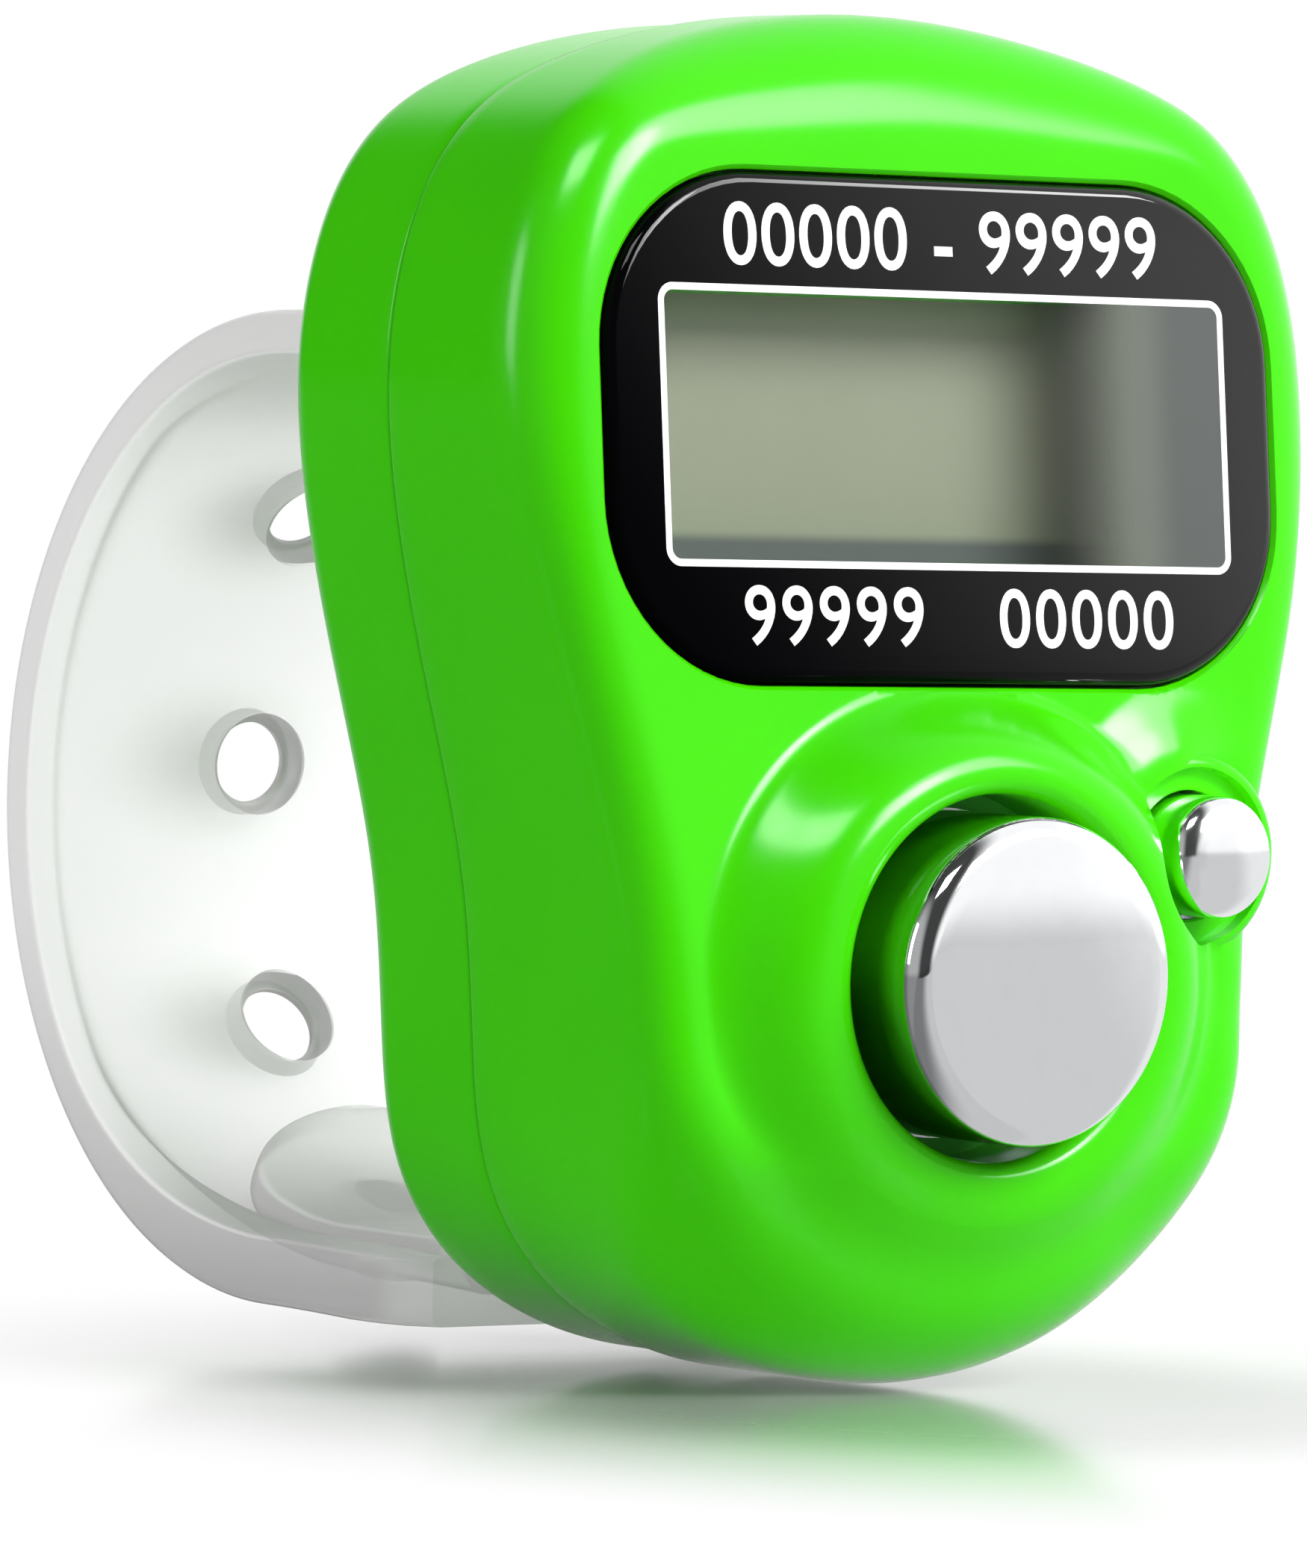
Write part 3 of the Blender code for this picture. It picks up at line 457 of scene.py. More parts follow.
seam_front = -span("front_shell", "y")[1]
seam_round = 0.00015
seam_land = 0.0006
side_steps = 8
edge_steps = 12
face_steps = 84
inner_steps = 12
lens_width = size("window_lens", "x")
lens_height = 0.0141
lens_corner = 0.0050
pocket_gap = 0.00008
pocket_depth = 0.0010
pocket_bevel = 0.00012
pocket_mouth_gap = 0.00040
pocket_mouth_front = 0.00020
opening_width = 0.0196
opening_height = 0.0077
opening_corner = 0.0005
opening_depth = 0.0040
recess_mouth_radius = 0.00255
recess_radius = 0.00250
recess_back = 0.0142
guide_mouth_radius = 0.00190
guide_radius = 0.00184
guide_front = 0.01412
guide_back = 0.0100
cut_front = 0.0180


def lens_outline(grown):
    """The lens's outline, made larger on every side."""
    return rounded_rectangle(lens_width + 2 * grown, lens_height + 2 * grown, lens_corner + grown)


def make_front_shell():
    rings = [side_ring(side_wall, seam_front), side_ring(seam_land, seam_front)]
    for turn in quarter(3):
        rings.append(side_ring(seam_round * (1 - sin(turn)), seam_front + seam_round * (1 - cos(turn))))
    side_foot = rings[-1]
    side_top = edge_ring(0.0, 0.0, 0.0, edge_radius, True)
    for step in range(1, side_steps):
        rings.append([low.lerp(high, step / side_steps) for low, high in zip(side_foot, side_top)])
    rings += [edge_ring(0.0, 0.0, turn, edge_radius, True) for turn in quarter(edge_steps)]
    rings += inward_rings(rings[-1], face_steps, bore_radius + lip_round,
                          lambda across, up: swell(across, up, face_front(up)))
    for turn in quarter(6)[1:]:
        rings.append([Vector((0.0, -collar_front + lip_round * (1 - cos(turn)), count_rise))
                      + Vector((start.x, 0.0, start.z - count_rise)).normalized()
                      * (bore_radius + lip_round * (1 - sin(turn))) for start in rings[-1]])
    inner_edge = [edge_ring(side_wall, face_wall, turn, lambda up: inner_edge_round, False)
                  for turn in quarter(3)]
    inner_face = inward_rings(inner_edge[-1], inner_steps, bore_radius,
                              lambda across, up: face_front(up) - face_wall)
    shell = lofted(rings + inner_face[::-1] + inner_edge[::-1], closed=True)
    boss = [(0.0, boss_front), (boss_flat_radius, boss_front)]
    for turn in quarter(8)[1:]:
        boss.append((boss_flat_radius + boss_round * sin(turn), boss_front - boss_round * (1 - cos(turn))))
    boss += [(boss_flat_radius + boss_round, boss_side_back), (boss_root_radius, boss_root_back),
             (0.0, boss_root_back)]
    shell = combined(shell, [turned(boss, reset_offset, reset_rise, 96)], "UNION")
    recess = [(0.0, cut_front), (recess_mouth_radius, cut_front), (recess_radius, recess_back),
              (guide_mouth_radius, recess_back), (guide_radius, guide_front), (guide_radius, guide_back),
              (0.0, guide_back)]
    pocket = [on_window(lens_outline(gap), proud) for gap, proud in
              ((pocket_mouth_gap, pocket_mouth_front), (pocket_gap, -pocket_bevel),
               (pocket_gap, -pocket_depth))]
    opening = [on_window(rounded_rectangle(opening_width, opening_height, opening_corner), proud)
               for proud in (0.0, -opening_depth)]
    return combined(shell, [turned(recess, reset_offset, reset_rise, 96), lofted(pocket), lofted(opening)],
                    "DIFFERENCE")


finished("front_case", make_front_shell(), green_plastic, "case", "case_green", "front_shell")

# Window lens
# A plate of clear acrylic, painted black from behind but for the window. It is glued in its
# pocket, and a thin white line and plain white numbers are printed on it.

clear_half_width = 0.0097
clear_half_height = 0.00375


def make_lens_black():
    finish = Finish("lens_acrylic")
    across, up = finish.place("XZ")
    tall = (up - window_rise) / cos(face_tilt)
    clear = (across.size() < clear_half_width) * (tall.size() < clear_half_height)
    # Over the right part of the window the lens is painted a grey veil and made more opaque: painted light
    # over the display's shaded right end, darker further right as painted shade of the window's right wall.
    haze = across.ramp(0.0028, 0.0082)
    sheen = (across * 45.0 + tall * 32.0 + 0.51).ramp(-0.1, 1.1)
    smudge = finish.noise(scale=400.0)
    paint_black = (0.0015, 0.0015, 0.002)
    painted_light_grey = (0.30, 0.33, 0.27)
    painted_shade_grey = (0.10, 0.11, 0.105)
    painted_light_veil = finish.mix(across.ramp(0.0056, 0.0082), painted_light_grey, painted_shade_grey)
    return finish.close(finish.surface(
        Base_Color=finish.mix(clear * haze, paint_black, painted_light_veil), Roughness=0.05 + smudge * 0.03,
        IOR=1.49, Specular_IOR_Level=0.0, Coat_Weight=sheen, Coat_Roughness=0.04,
        Alpha=1.0 - clear * (0.94 - haze * 0.80)))


lens_proud = 0.0002
lens_bevel = 0.00035


def make_lens():
    rings = [on_window(lens_outline(0.0), lens_proud - pocket_depth)]
    for turn in quarter(6):
        rings.append(on_window(lens_outline(-lens_bevel * (1 - cos(turn))),
                               lens_proud - lens_bevel * (1 - sin(turn))))
    return lofted(rings)


finished("lens", make_lens(), make_lens_black(), "case", "gloss_black", "window_lens")


def make_print_white():
    finish = Finish("print_white")
    speckle = finish.noise(scale=6000.0)
    return finish.close(finish.surface(
        Base_Color=finish.mix(speckle, (0.80, 0.80, 0.80), (0.92, 0.92, 0.92)), Roughness=0.5))


print_white = make_print_white()
ink_thickness = 0.00001
line_outer_width = 0.0197
line_outer_height = 0.00778
line_width = 0.00020


def make_frame_line():
    rings = []
    for inset, height in ((0.0, 0.0), (0.0, ink_thickness), (line_width, ink_thickness), (line_width, 0.0)):
        places = rounded_rectangle(line_outer_width - 2 * inset, line_outer_height - 2 * inset,
                                   opening_corner - inset)
        rings.append(on_window(places, lens_proud + height))
    return lofted(rings, closed=True)


finished("frame_line", make_frame_line(), print_white, "case", "reflector_grey")

digit_height_share = 0.69
stroke_gain = 0.00002


def make_number(name, text, across, up, height, spacing):
    """A printed number, with its middle at a place on the lens."""
    curve = bpy.data.curves.new(name, "FONT")
    curve.body = text
    curve.size = height / digit_height_share
    curve.space_character = spacing
    curve.align_x = "CENTER"
    curve.align_y = "CENTER"
    curve.offset = stroke_gain
    curve.extrude = ink_thickness / 2
    curve.resolution_u = 8
    guide = bpy.data.objects.new(name, curve)
    bpy.context.scene.collection.objects.link(guide)
    bpy.context.view_layer.update()
    mesh = bpy.data.meshes.new_from_object(guide.evaluated_get(bpy.context.evaluated_depsgraph_get()))
    bpy.data.objects.remove(guide)
    shape = bmesh.new()
    shape.from_mesh(mesh)
    lay = (Matrix.Translation((across, -lens_proud - ink_thickness / 2, up))
           @ Matrix.Rotation(pi / 2, 4, "X"))
    bmesh.ops.transform(shape, matrix=window_place @ lay, verts=shape.verts)
    finished(name, shape, print_white, "case", "reflector_grey")


make_number("upper_numbers", "00000 - 99999", across=0.0, up=0.0052, height=0.0017, spacing=1.05)
make_number("lower_left_number", "99999", across=-0.0042, up=-0.0053, height=0.0016, spacing=1.10)
make_number("lower_right_number", "00000", across=0.0046, up=-0.0053, height=0.0016, spacing=1.10)

# Display
# A liquid crystal cell of two glass plates with a grey-green reflector behind them. It stands
# in a grey frame behind the window, and a striped rubber strip joins its ledge to the board.


def dress(name, material):
    """Gives a node of the frame its material."""
    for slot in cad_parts[name].material_slots:
        slot.material = material


def make_display_glass():
    finish = Finish("display_glass")
    across, up = finish.place("XZ")
    cloudy = finish.noise(scale=180.0)
    tone = finish.mix(cloudy, (0.275, 0.308, 0.215), (0.305, 0.335, 0.24))
    # The right end is painted paler: painted light over the shade that the window's right wall casts there.
    painted_light_right_end = (0.50, 0.53, 0.46)
    tone = finish.mix(across.ramp(0.0050, 0.0090), tone, painted_light_right_end)
    # The foot is painted dark: painted shade under the window's lower edge.
    painted_shade_foot = (0.10, 0.115, 0.11)
    tone = finish.mix(up.ramp(0.0047, 0.0043), tone, painted_shade_foot)
    return finish.close(finish.surface(Base_Color=tone, Roughness=0.25, IOR=1.5))


display_glass = make_display_glass()
for name in ("lcd_front_glass", "lcd_rear_glass", "lcd_reflector"):
    dress(name, display_glass)


def make_plain(name, dark, light, scale, roughness, metallic=0.0):
    """An even finish with a fine grain, for the pieces that hardly show."""
    finish = Finish(name)
    grain = finish.noise(scale)
    return finish.close(finish.surface(
        Base_Color=finish.mix(grain, dark, light), Roughness=roughness + grain * 0.08,
        Metallic=metallic, Normal=finish.bump(grain, distance=0.00002)))


dress("lcd_frame", make_plain("frame_grey", (0.44, 0.46, 0.43), (0.50, 0.52, 0.49), 3000.0, 0.5))
dress("zebra_connector", make_plain("zebra_rubber", (0.05, 0.05, 0.05), (0.30, 0.30, 0.30), 9000.0, 0.6))

# Buttons
# Two moulded caps with chrome plating: a wide, slightly crowned one that counts and a small
# dome that resets. A flange under the case holds each, and a rubber dome pushes it back.


def make_chrome(name, across_axis, up_axis, cap_edge_radius, roughness):
    """Bright plating, painted dull grey near the side as a reflection of the shaded bore, and the flange
    beyond painted plain rough green as the bore's green shade and reflection.
    """
    finish = Finish(name)
    across, up = finish.place("XZ")
    clouds = finish.noise(scale=260.0, detail=1.0)
    haze = finish.noise(scale=1500.0)
    from_axis = ((across - across_axis) ** 2.0 + (up - up_axis) ** 2.0).root()
    # The last of the side is painted dull grey, a painted reflection of the shaded bore; the flange beyond
    # is painted plain rough green, as the green bore's shade and reflection.
    on_side = from_axis.ramp(cap_edge_radius * 0.975, cap_edge_radius * 0.988)
    on_flange = from_axis > cap_edge_radius
    plated = finish.mix(haze, (0.85, 0.865, 0.88), (0.91, 0.92, 0.935))
    painted_dark_reflection = (0.40, 0.41, 0.42)
    painted_bore_reflection = (0.02, 0.42, 0.0)
    return finish.close(finish.surface(
        Base_Color=finish.mix(on_flange, finish.mix(on_side, plated, painted_dark_reflection), painted_bore_reflection),
        Metallic=1.0 - on_flange, Roughness=roughness + haze * 0.03 + on_flange * 0.5,
        Normal=finish.bump(clouds, distance=0.00001, strength=0.35)))


cap_steps = 12


def rounded_cap(radius, front, crown, edge):
    """A cap's outside from its middle to its side, as (radius, distance in front)."""
    sphere = (radius ** 2 + crown ** 2) / (2 * crown)
    profile = []
    for step in range(cap_steps + 1):
        across = (radius - edge) * step / cap_steps
        profile.append((across, front - across ** 2 / (2 * sphere)))
    lean = (radius - edge) / sphere
    low = profile[-1][1] - edge * cos(lean)
    for step in range(1, cap_steps + 1):
        turn = lean + (pi / 2 - lean) * step / cap_steps
        profile.append((radius - edge + edge * (sin(turn) - sin(lean)) / (1 - sin(lean)),
                        low + edge * cos(turn)))
    return profile


def with_flange(profile, flange_radius, flange_front, flange_back):
    """The cap's profile taken down its side to the flange and round it to the axis."""
    radius = profile[-1][0]
    return profile + [(radius, flange_front), (flange_radius, flange_front), (flange_radius, flange_back),
                      (0.0, flange_back)]


count_front = -span("count_button", "y")[0]
count_profile = with_flange(
    rounded_cap(radius=0.00455, front=count_front, crown=0.00027, edge=0.00065),
    flange_radius=size("count_button", "x") / 2, flange_front=0.0134, flange_back=0.0126)
count_chrome = make_chrome("count_chrome", 0.0, count_rise, cap_edge_radius=0.0046, roughness=0.035)
finished("count_cap", turned(count_profile, 0.0, count_rise, 160), count_chrome,
         "count_button", "chrome", "count_button")

reset_front = -span("reset_button", "y")[0]
reset_profile = with_flange(
    rounded_cap(radius=0.00172, front=reset_front, crown=0.00040, edge=0.00060),
    flange_radius=size("reset_button", "x") / 2, flange_front=0.0129, flange_back=0.0123)
reset_chrome = make_chrome("reset_chrome", reset_offset, reset_rise, cap_edge_radius=0.00176, roughness=0.09)
finished("reset_cap", turned(reset_profile, reset_offset, reset_rise, 96), reset_chrome,
         "reset_button", "chrome", "reset_button")

grey_rubber = make_plain("dome_rubber", (0.42, 0.43, 0.45), (0.52, 0.53, 0.55), 2500.0, 0.55)
dress("count_dome", grey_rubber)
dress("reset_dome", grey_rubber)

# Board
# A glass fibre board under green solder mask, held to the front shell by two steel screws. It
# carries the chip under a drop of black resin, and one small brown capacitor.

steel = make_plain("screw_steel", (0.42, 0.42, 0.43), (0.60, 0.60, 0.61), 3500.0, 0.28, 1.0)
dress("circuit_board", make_plain("solder_mask", (0.010, 0.120, 0.045), (0.020, 0.180, 0.070), 1500.0, 0.35))
dress("chip_cover", make_plain("chip_resin", (0.012, 0.012, 0.012), (0.022, 0.022, 0.022), 2500.0, 0.4))
dress("timing_capacitor", make_plain("capacitor_body", (0.26, 0.15, 0.07), (0.34, 0.20, 0.10), 2500.0, 0.5))
dress("board_screw_left", steel)
dress("board_screw_right", steel)

# Cell and contacts
# A button cell in a steel can, which lies in the rear shell between two sprung brass leaves:
# one on its flat end and one on its side.

brass = make_plain("contact_brass", (0.62, 0.46, 0.18), (0.78, 0.60, 0.26), 3000.0, 0.3, 1.0)
dress("button_cell", steel)
dress("cell_positive_contact", brass)
dress("cell_negative_contact", brass)

# Rear shell
# The green rear half, set in a little at the parting line. It has the door's seat, four deep
# screw holes and the two slots that the strap and its tab go through.

rear_depth = 0.0055
rear_floor = 0.0020
rear_inset = 0.00020
rear_round = 0.0015
rear_side_step = 0.0006
joint_lip_height = 0.0008
joint_lip_inset = 0.00085
overrun = 0.0010
strap_width = size("strap_band", "x")
strap_rise = -0.00385
strap_leg = 0.0074
strap_radius = span("strap_band", "y")[1] - strap_leg
strap_floor = 0.0009
strap_flare = 0.0004
strap_top = strap_rise + strap_radius + strap_flare
strap_slot_gap = 0.0003
strap_slot_height = 0.0022
slot_depth = 0.0030
tab_gap = 0.0003
tab_radius = strap_radius - strap_floor - tab_gap
tab_low = strap_rise - tab_radius
tab_slot_width = 0.0086
tab_slot_top = 0.0014
door_width = 0.0144
door_low = -0.0096
door_high = 0.0076
door_seat_depth = 0.0012
door_corner = 0.0032
cell_pocket_radius = 0.0061
cell_pocket_front = 0.0072
screw_hole_front = 0.0065
shank_hole_radius = 0.0009
head_seat = 0.0013
head_hole_radius = 0.00145
head_hole_mouth = 0.00165
head_hole_bevel_front = 0.00015
head_hole_bevel_back = -0.00005
case_screws = ("upper_left", "lower_left", "upper_right", "lower_right")


def block(width, low, high, front, corner=0.0002):
    """A cutter with round corners between two heights, from behind the back to a depth in it."""
    places = rounded_rectangle(width, high - low, corner, 6)
    return lofted([[Vector((p.x, -depth, p.y + (low + high) / 2)) for p in places]
                   for depth in (front, -overrun)])


def make_rear_shell():
    rings = [side_ring(side_wall, rear_floor), side_ring(side_wall, rear_depth + joint_lip_height),
             side_ring(joint_lip_inset, rear_depth + joint_lip_height),
             side_ring(joint_lip_inset, rear_depth)]
    for turn in quarter(3):
        rings.append(side_ring(rear_inset + seam_round * (1 - sin(turn)),
                               rear_depth - seam_round * (1 - cos(turn))))
    for step in range(1, 6):
        rings.append(side_ring(rear_inset, rear_depth - seam_round - step * rear_side_step))
    for turn in quarter(12):
        rings.append(side_ring(rear_inset + rear_round * (1 - cos(turn)), rear_round * (1 - sin(turn))))
    cell_pocket = [(0.0, cell_pocket_front), (cell_pocket_radius, cell_pocket_front),
                   (cell_pocket_radius, 0.0), (0.0, 0.0)]
    screw_hole = [(0.0, screw_hole_front), (shank_hole_radius, screw_hole_front),
                  (shank_hole_radius, head_seat), (head_hole_radius, head_seat),
                  (head_hole_radius, head_hole_bevel_front), (head_hole_mouth, head_hole_bevel_back),
                  (head_hole_mouth, -overrun), (0.0, -overrun)]
    cuts = [block(door_width, door_low, door_high, door_seat_depth, door_corner),
            block(strap_width + 2 * strap_slot_gap, strap_top + strap_slot_gap - strap_slot_height,
                  strap_top + strap_slot_gap, slot_depth),
            block(tab_slot_width, tab_low - strap_slot_gap, tab_low + tab_slot_top, slot_depth),
            turned(cell_pocket, middle("button_cell", "x"), middle("button_cell", "z"), 96)]
    for label in case_screws:
        node = "case_screw_" + label
        cuts.append(turned(screw_hole, middle(node, "x"), middle(node, "z"), 48))
    return combined(lofted(rings), cuts, "DIFFERENCE")


finished("rear_case", make_rear_shell(), green_plastic, "case", "case_green", "rear_shell")
dress("battery_door", green_plastic)

# Screws in the back
# Cross-slotted steel screws with slightly domed heads: four deep ones that hold the halves of
# the case together, and one with a thinner head in the battery door.

screw_edge_round = 0.00015
screw_crown = 0.00008
screw_slot_width = 0.0004
screw_slot_share = 1.4
shank_radius = 0.0007
shank_length = 0.0020


def make_screw(node, sink, height):
    """A screw's head and the start of its shank, as deep in the back and as wide as its node."""
    across, up = middle(node, "x"), middle(node, "z")
    radius = size(node, "x") / 2
    profile = [(0.0, sink - screw_crown)]
    for turn in quarter(6)[1:]:
        profile.append((radius - screw_edge_round + screw_edge_round * sin(turn),
                        sink + screw_edge_round * (1 - cos(turn))))
    profile += [(radius, sink + height), (shank_radius, sink + height),
                (shank_radius, sink + height + shank_length), (0.0, sink + height + shank_length)]
    slots = []
    for width, tall in ((screw_slot_width, screw_slot_share * radius),
                        (screw_slot_share * radius, screw_slot_width)):
        places = rounded_rectangle(width, tall, screw_slot_width / 4, 4)
        slots.append(lofted([[Vector((p.x + across, -depth, p.y + up)) for p in places]
                             for depth in (sink - overrun / 2, sink + height / 2)]))
    return combined(turned(profile, across, up, 64), slots, "DIFFERENCE")


for label in case_screws:
    node = "case_screw_" + label
    finished("back_screw_" + label, make_screw(node, 0.0002, 0.0009), steel, "case", "screw_steel", node)
finished("door_screw", make_screw("battery_door_screw", 0.0001, 0.00055), steel, "case",
         "screw_steel", "battery_door_screw")

# Strap band
# A band moulded in half clear silicone, with a raised edge on each side of its thin middle and
# a row of holes. A bead holds its top end in the case, and its free end goes over the stud.

strap_edge = 0.0013
strap_behind = 0.0022
recess_top = radians(78.0)
recess_fade = radians(26.0)
stud_angle = radians(-64.0)
hole_pitch = 0.0079
hole_turn = hole_pitch / (strap_radius - strap_floor)
hole_mouth_radius = 0.00155


def make_silicone():
    finish = Finish("strap_silicone")
    across, back, up = finish.place()
    clouds = finish.noise(scale=160.0)
    grain = finish.noise(scale=1800.0)
    edge_on = finish.node("LayerWeight", {}, {"Blend": 0.5}, "Facing").ramp(0.25, 0.85)
    normal = finish.node("TexCoord", output="Normal")
    cut_side = finish.axis(normal, "X").size().ramp(0.5, 0.95)
    steps = ((up - strap_rise).math("ARCTAN2", back - strap_leg) - stud_angle) / hole_turn
    along = (steps - steps.math("ROUND")) * hole_turn * strap_radius
    from_middle = ((up - strap_rise) ** 2.0 + (back - strap_leg) ** 2.0).root()
    on_band = from_middle > strap_radius - strap_floor - 0.00015
    hole_wall = ((across * across + along * along).root() < hole_mouth_radius + 0.00008) * on_band
    # Beside each hole, shifted to one side, a soft painted shade stands for the shade and the blurred far
    # rim seen through the translucent band.
    beside = across + 0.0013
    painted_hole_shade = (beside * beside * 0.4 + along * along).root().ramp(0.0036, 0.0) ** 1.5
    painted_hole_shade = painted_hole_shade * back.ramp(strap_leg, strap_leg + 0.004) * on_band
    # The thick share also carries the painted shade beside the holes and in their walls.
    thick_and_painted_shade = edge_on.most(cut_side * 0.85).most(painted_hole_shade * 0.8).most(hole_wall)
    # The thin tone is faintly pink, a painted tint against the green light that bounces on the band from the
    # case.
    thin_tone = finish.mix(clouds, (0.90, 0.88, 0.90), (0.96, 0.94, 0.96))
    # The thick tone is painted darker towards the bottom, as shade.
    thick_tone_and_painted_low_shade = finish.mix(up.ramp(-0.006, -0.0175), (0.62, 0.61, 0.615), (0.36, 0.355, 0.358))
    # The holes' walls are painted grey, as the shade inside them.
    hole_wall_painted_shade = (0.42, 0.41, 0.415)
    tone = finish.mix(hole_wall, finish.mix(thick_and_painted_shade, thin_tone, thick_tone_and_painted_low_shade), hole_wall_painted_shade)
    # The faint glow in the band's own tone is painted light, standing in for light that passes through the
    # silicone.
    return finish.close(finish.surface(
        Base_Color=tone, Roughness=0.30 + grain * 0.15, IOR=1.41, Alpha=0.27 + thick_and_painted_shade * 0.58,
        Emission_Color=tone, Emission_Strength=0.24,
        Normal=finish.bump(clouds + grain * 0.03, distance=0.00010, strength=0.6)))


def softened(corners, steps=5):
    """The places of a closed path whose corners are rounded, each by its own distance."""
    places = []
    for i, (corner, radius) in enumerate(corners):
        before = corners[i - 1][0] - corner
        after = corners[(i + 1) % len(corners)][0] - corner
        start = corner + before.normalized() * min(radius, before.length / 2)
        end = corner + after.normalized() * min(radius, after.length / 2)
        for step in range(steps):
            t = step / (steps - 1)
            places.append(start.lerp(corner, t).lerp(corner.lerp(end, t), t))
    return places


lip_width = 0.0009
lip_gain_at_top = 0.0010
lip_gain_at_foot = 0.0015
foot_edge_gain = 0.0007
foot_angles = (radians(35.0), radians(85.0))
neck_back = 0.0033
neck_length = 0.0026
neck_narrowing = 0.0022
least_lip = 0.0004
recess_slope = 0.00060
outer_corner = 0.00035
edge_corner = 0.00025
lip_corner = 0.00018
recess_corner = 0.00050


def band_ring(place, outward, angle):
    """A ring across the band: raised edges with a thinner middle, which fills up near the case."""
    fade = 1 - smooth_share(angle, recess_top - recess_fade, recess_top)
    foot = smooth_share(-angle, *foot_angles)
    half = strap_width / 2
    lip = half - lip_width - (1 - fade) * lip_gain_at_top - foot * lip_gain_at_foot
    if angle < 0 and place.y < neck_back:
        half -= neck_narrowing * (1 - sqrt(1 - ((neck_back - place.y) / neck_length) ** 2))
        lip = min(lip, half - least_lip)
    edge = strap_edge + foot * foot_edge_gain
    floor = strap_edge - max((strap_edge - strap_floor) * fade, 0.00001)
    corners = [(Vector((-half, 0.0)), outer_corner), (Vector((half, 0.0)), outer_corner),
               (Vector((half, edge)), edge_corner), (Vector((lip, edge)), lip_corner),
               (Vector((lip - recess_slope, floor)), recess_corner),
               (Vector((-lip + recess_slope, floor)), recess_corner),
               (Vector((-lip, edge)), lip_corner), (Vector((-half, edge)), edge_corner)]
    return [place + Vector((p.x, 0.0, 0.0)) - outward * p.y for p in softened(corners)]


def round_finger(angle, radius):
    outward = Vector((0.0, cos(angle), sin(angle)))
    return Vector((0.0, strap_leg, strap_rise)) + outward * radius, outward


def radial_pin(profile, angle, steps):
    """A piece turned round a line that points outwards from the finger's middle at an angle."""
    pin = turned(profile, 0.0, 0.0, steps)
    turn = Matrix.Rotation(pi + angle, 4, "X")
    bmesh.ops.transform(pin, verts=pin.verts, matrix=Matrix.Translation((0.0, strap_leg, strap_rise)) @ turn)
    return pin


leg_steps = 12
loop_steps = 120
foot_flare = 0.0002
foot_end = 0.0008
hole_radius = 0.00122
hole_back_mouth_radius = 0.00135
hole_back_bevel = 0.00012
dish_depth = 0.00062
skin = 0.00002
pin_inner = 0.0120
pin_outer = 0.0160


def make_band():
    stations = []
    for step in range(leg_steps):
        back = -strap_behind + (strap_leg + strap_behind) * step / leg_steps
        share = 1 - max(back, 0.0) / strap_leg
        place = Vector((0.0, back, strap_rise + strap_radius + strap_flare * share * share))
        stations.append((place, Vector((0.0, 0.0, 1.0)), pi / 2))
    for step in range(loop_steps + 1):
        angle = pi / 2 - pi * step / loop_steps
        stations.append((*round_finger(angle, strap_radius), angle))
    for step in range(1, leg_steps + 1):
        back = strap_leg + (foot_end - strap_leg) * step / leg_steps
        share = 1 - back / strap_leg
        place = Vector((0.0, back, strap_rise - strap_radius - foot_flare * share * share))
        stations.append((place, Vector((0.0, 0.0, -1.0)), -pi / 2))
    band = lofted([band_ring(*station) for station in stations])
    inner = strap_radius - strap_floor
    hole = [(0.0, pin_outer), (hole_back_mouth_radius, pin_outer),
            (hole_back_mouth_radius, strap_radius + skin), (hole_radius, strap_radius - hole_back_bevel)]
    hole += [(hole_mouth_radius - (hole_mouth_radius - hole_radius) * (1 - cos(turn)),
              inner - skin + dish_depth * sin(turn)) for turn in reversed(quarter(6))]
    hole += [(hole_mouth_radius, pin_inner), (0.0, pin_inner)]
    hole_count = int((recess_top - stud_angle) / hole_turn) + 1
    holes = [radial_pin(hole, stud_angle + hole_turn * number, 72) for number in range(hole_count)]
    return combined(band, holes, "DIFFERENCE")


silicone = make_silicone()
finished("silicone_band", make_band(), silicone, "case", "strap_silicone", "strap_band")

# Strap tab
# A short tongue of the same silicone inside the band's foot, with a round end and a stud whose
# head goes through the band's last hole. Its narrow neck is held in the case by a bead.

tab_half = 0.0057
tab_thickness = 0.0011
tab_corner = 0.0003
tab_tip = radians(-50.0)
tab_tip_steps = 24
tab_neck = ((0.0037, tab_half), (0.0030, tab_half), (0.0026, 0.00555), (0.0020, 0.0046),
            (0.0015, 0.0040), (0.0, 0.0040), (-strap_behind, 0.0040))
stud_shaft_radius = 0.00115
stud_head = [(0.0, 0.0154), (0.0008, 0.0154), (0.0014, 0.01530), (0.0018, 0.01510),
             (0.0020, 0.01490), (0.0020, 0.01470), (stud_shaft_radius, 0.01470)]
stud_root = 0.0005


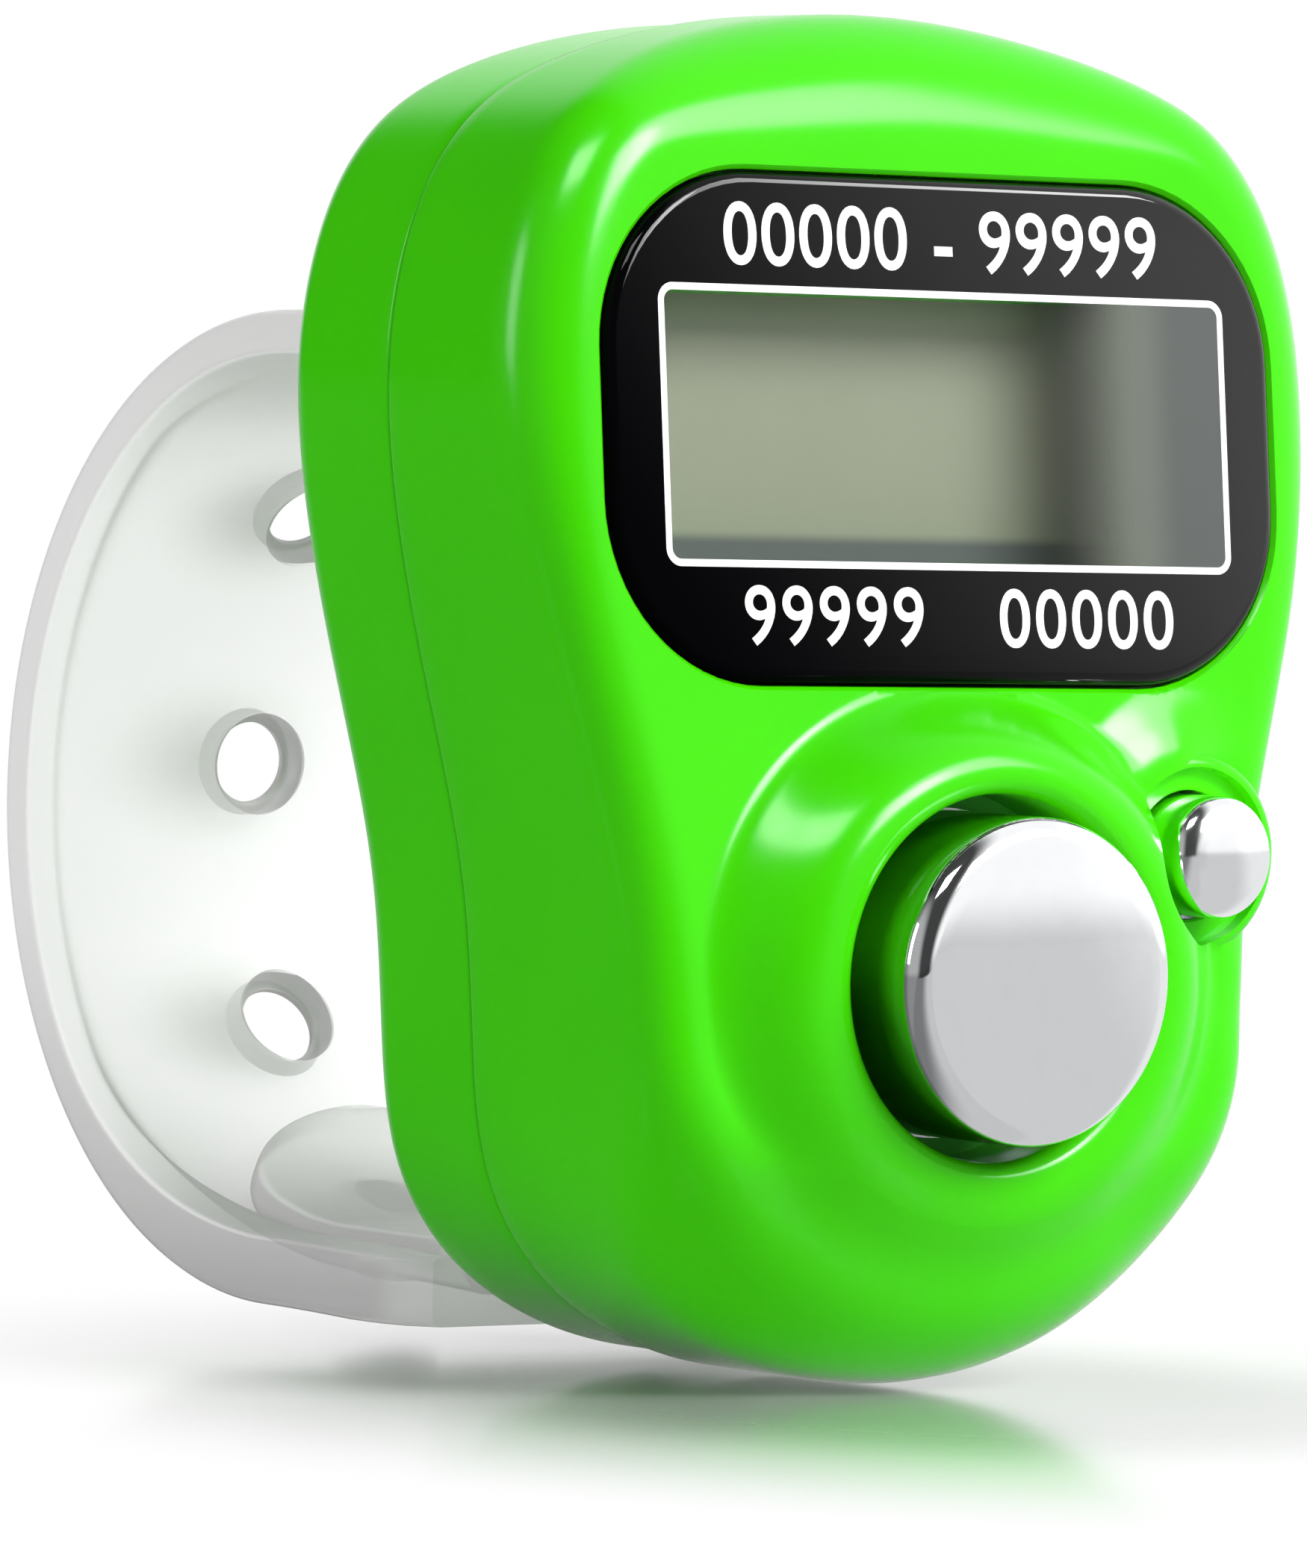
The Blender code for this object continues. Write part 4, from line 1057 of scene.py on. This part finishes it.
def make_tab():
    tip_turn = tab_half / tab_radius
    stations = []
    for turn in quarter(tab_tip_steps)[1:]:
        angle = tab_tip - tip_turn * (1 - cos(turn))
        stations.append((*round_finger(angle, tab_radius), tab_half * sin(turn)))
    start = tab_tip - tip_turn
    for step in range(1, leg_steps + 1):
        angle = start - (pi / 2 + start) * step / leg_steps
        stations.append((*round_finger(angle, tab_radius), tab_half))
    for back, width in tab_neck:
        stations.append((Vector((0.0, back, tab_low)), Vector((0.0, 0.0, -1.0)), width))
    rings = []
    for place, outward, width in stations:
        corners = [(Vector((side * width, depth)), tab_corner) for side, depth in
                   ((-1, 0.0), (1, 0.0), (1, tab_thickness), (-1, tab_thickness))]
        rings.append([place + Vector((p.x, 0.0, 0.0)) - outward * p.y for p in softened(corners)])
    stud = stud_head + [(stud_shaft_radius, tab_radius - stud_root), (0.0, tab_radius - stud_root)]
    return combined(lofted(rings), [radial_pin(stud, stud_angle, 64)], "UNION")


finished("silicone_tab", make_tab(), silicone, "case", "strap_silicone", "strap_tab")

# Room
# A white table in a white room, with a large soft box at the upper right and a small one at the
# left. Two windows show in shiny surfaces only, and so does the dark left side of the room.

table_height = -0.0193
table_size = 3.0
table_in_mirrors = 0.68
case_half_width = 0.0145
case_middle_back = -0.013
case_half_depth = 0.018


def seen_directly(finish):
    """Whether a mirror sees it, and whether the camera does, itself, in a mirror or through glass."""
    seen = finish.node("LightPath", output="Is Camera Ray")
    mirrored = finish.node("LightPath", output="Is Glossy Ray")
    through = finish.node("LightPath", output="Is Transmission Ray")
    return mirrored, seen.most(mirrored).most(through)


def brightness_in_mirrors(rightwards):
    """How bright the room is in a mirror, from a direction's share to the right."""
    front = rightwards.ramp(-0.10, 0.25) * 0.92
    far_right = rightwards.ramp(0.62, 0.85) * 0.35
    far_left = rightwards.ramp(-0.60, -0.85) * 0.35
    return front + far_right + far_left + 0.05


def make_table_white():
    finish = Finish("table_white")
    across, back = finish.place("XY")
    far_off = (across * across + back * back).root()
    near_case = ((across / case_half_width) ** 2.0
                 + ((back - case_middle_back) / case_half_depth) ** 2.0).root()
    mirrored, direct = seen_directly(finish)
    scattered = finish.node("LightPath", output="Is Diffuse Ray")
    rightwards = across / far_off.most(0.001)
    lit = brightness_in_mirrors(rightwards).most(0.30 + rightwards.ramp(-0.50, -0.05) * 0.58)
    speckle = finish.noise(scale=900.0)
    white = finish.mix(speckle, (0.80, 0.80, 0.80), (0.82, 0.82, 0.82))
    # Round the counter the table is painted darker, a painted shadow under the case that also lets its green
    # reflection show.
    painted_shadow_under_case = (0.40, 0.40, 0.40)
    white = finish.mix(near_case.ramp(0.5, 1.4), painted_shadow_under_case, white)
    grey_to_others = (0.42, 0.42, 0.42)
    cloth = finish.surface(Base_Color=finish.mix(scattered, white, grey_to_others), Roughness=0.13, IOR=2.1)
    glow = finish.node("Emission", {}, {"Color": (1.0, 1.0, 1.0, 1.0),
                                        "Strength": 1.0 - mirrored * (1.0 - table_in_mirrors * lit)})
    glowing = (near_case.ramp(0.8, 2.2) * direct).most(mirrored)
    return finish.close(finish.node("MixShader", {}, {0: glowing, 1: cloth, 2: glow}))


shape = bmesh.new()
bmesh.ops.create_grid(shape, x_segments=2, y_segments=2, size=table_size)
bmesh.ops.translate(shape, verts=shape.verts, vec=(0.0, 0.0, table_height))
table_mesh = bpy.data.meshes.new("table")
shape.to_mesh(table_mesh)
shape.free()
table_mesh.materials.append(make_table_white())
table = bpy.data.objects.new("table", table_mesh)
bpy.context.scene.collection.objects.link(table)


def make_room():
    """The room's light: plain white, but in mirrors greyer near the horizon and dark at the left."""
    finish = Finish("white_room", bpy.data.worlds.new("white_room"))
    direction = finish.node("TexCoord", output="Generated")
    rightwards, up = finish.axis(direction, "X"), finish.axis(direction, "Z")
    mirrored, direct = seen_directly(finish)
    mirror = (0.64 + up.ramp(-0.01, 0.07) * 0.46) * brightness_in_mirrors(rightwards)
    strength = (0.38 + direct * 0.62) * (1.0 - mirrored) + mirror * mirrored
    return finish.close(finish.node("Background", {}, {"Color": (1.0, 1.0, 1.0, 1.0), "Strength": strength}),
                        "OutputWorld")


bpy.context.scene.world = make_room()


def soft_box(name, place, size, power, mirrors_only=False):
    """A lamp that faces the middle of the counter."""
    lamp = bpy.data.lights.new(name, "AREA")
    lamp.shape = "RECTANGLE"
    lamp.size, lamp.size_y = size
    lamp.energy = power
    made = bpy.data.objects.new(name, lamp)
    towards_counter = Vector(place).to_track_quat("Z", "Y").to_matrix().to_4x4()
    made.matrix_world = Matrix.Translation(place) @ towards_counter
    made.visible_diffuse = not mirrors_only
    bpy.context.scene.collection.objects.link(made)


soft_box("left_window", (-0.22, -0.20, 0.40), (0.17, 0.13), 1.6, mirrors_only=True)
soft_box("front_window", (0.11, -0.405, 0.27), (0.18, 0.17), 4.0, mirrors_only=True)
soft_box("left_box", (-0.46, 0.10, 0.16), (0.12, 0.20), 0.80)
soft_box("right_box", (0.25, -0.40, 0.35), (0.28, 0.28), 4.2)

# Camera
# Where the photographer stood: low, in front of the counter, and towards the right-hand side
# of whoever wears it. The lens is a long one, so the case hardly narrows with distance.

camera_place = (-0.18202, -0.25201, 0.00799)
camera_right = Vector((0.81137, -0.58393, 0.02656))
camera_up = Vector((-0.00121, 0.04376, 0.99904))
camera_back = Vector((-0.58453, -0.81062, 0.03480))
camera_data = bpy.data.cameras.new("camera")
camera_data.sensor_fit = "HORIZONTAL"
camera_data.sensor_width = 36.0
camera_data.lens = 297.46
camera_data.clip_start = 0.01
camera = bpy.data.objects.new("camera", camera_data)
turn = Matrix((camera_right, camera_up, camera_back)).transposed().to_4x4()
camera.matrix_world = Matrix.Translation(camera_place) @ turn
bpy.context.scene.collection.objects.link(camera)
bpy.context.scene.camera = camera
bpy.context.scene.view_settings.view_transform = "Standard"
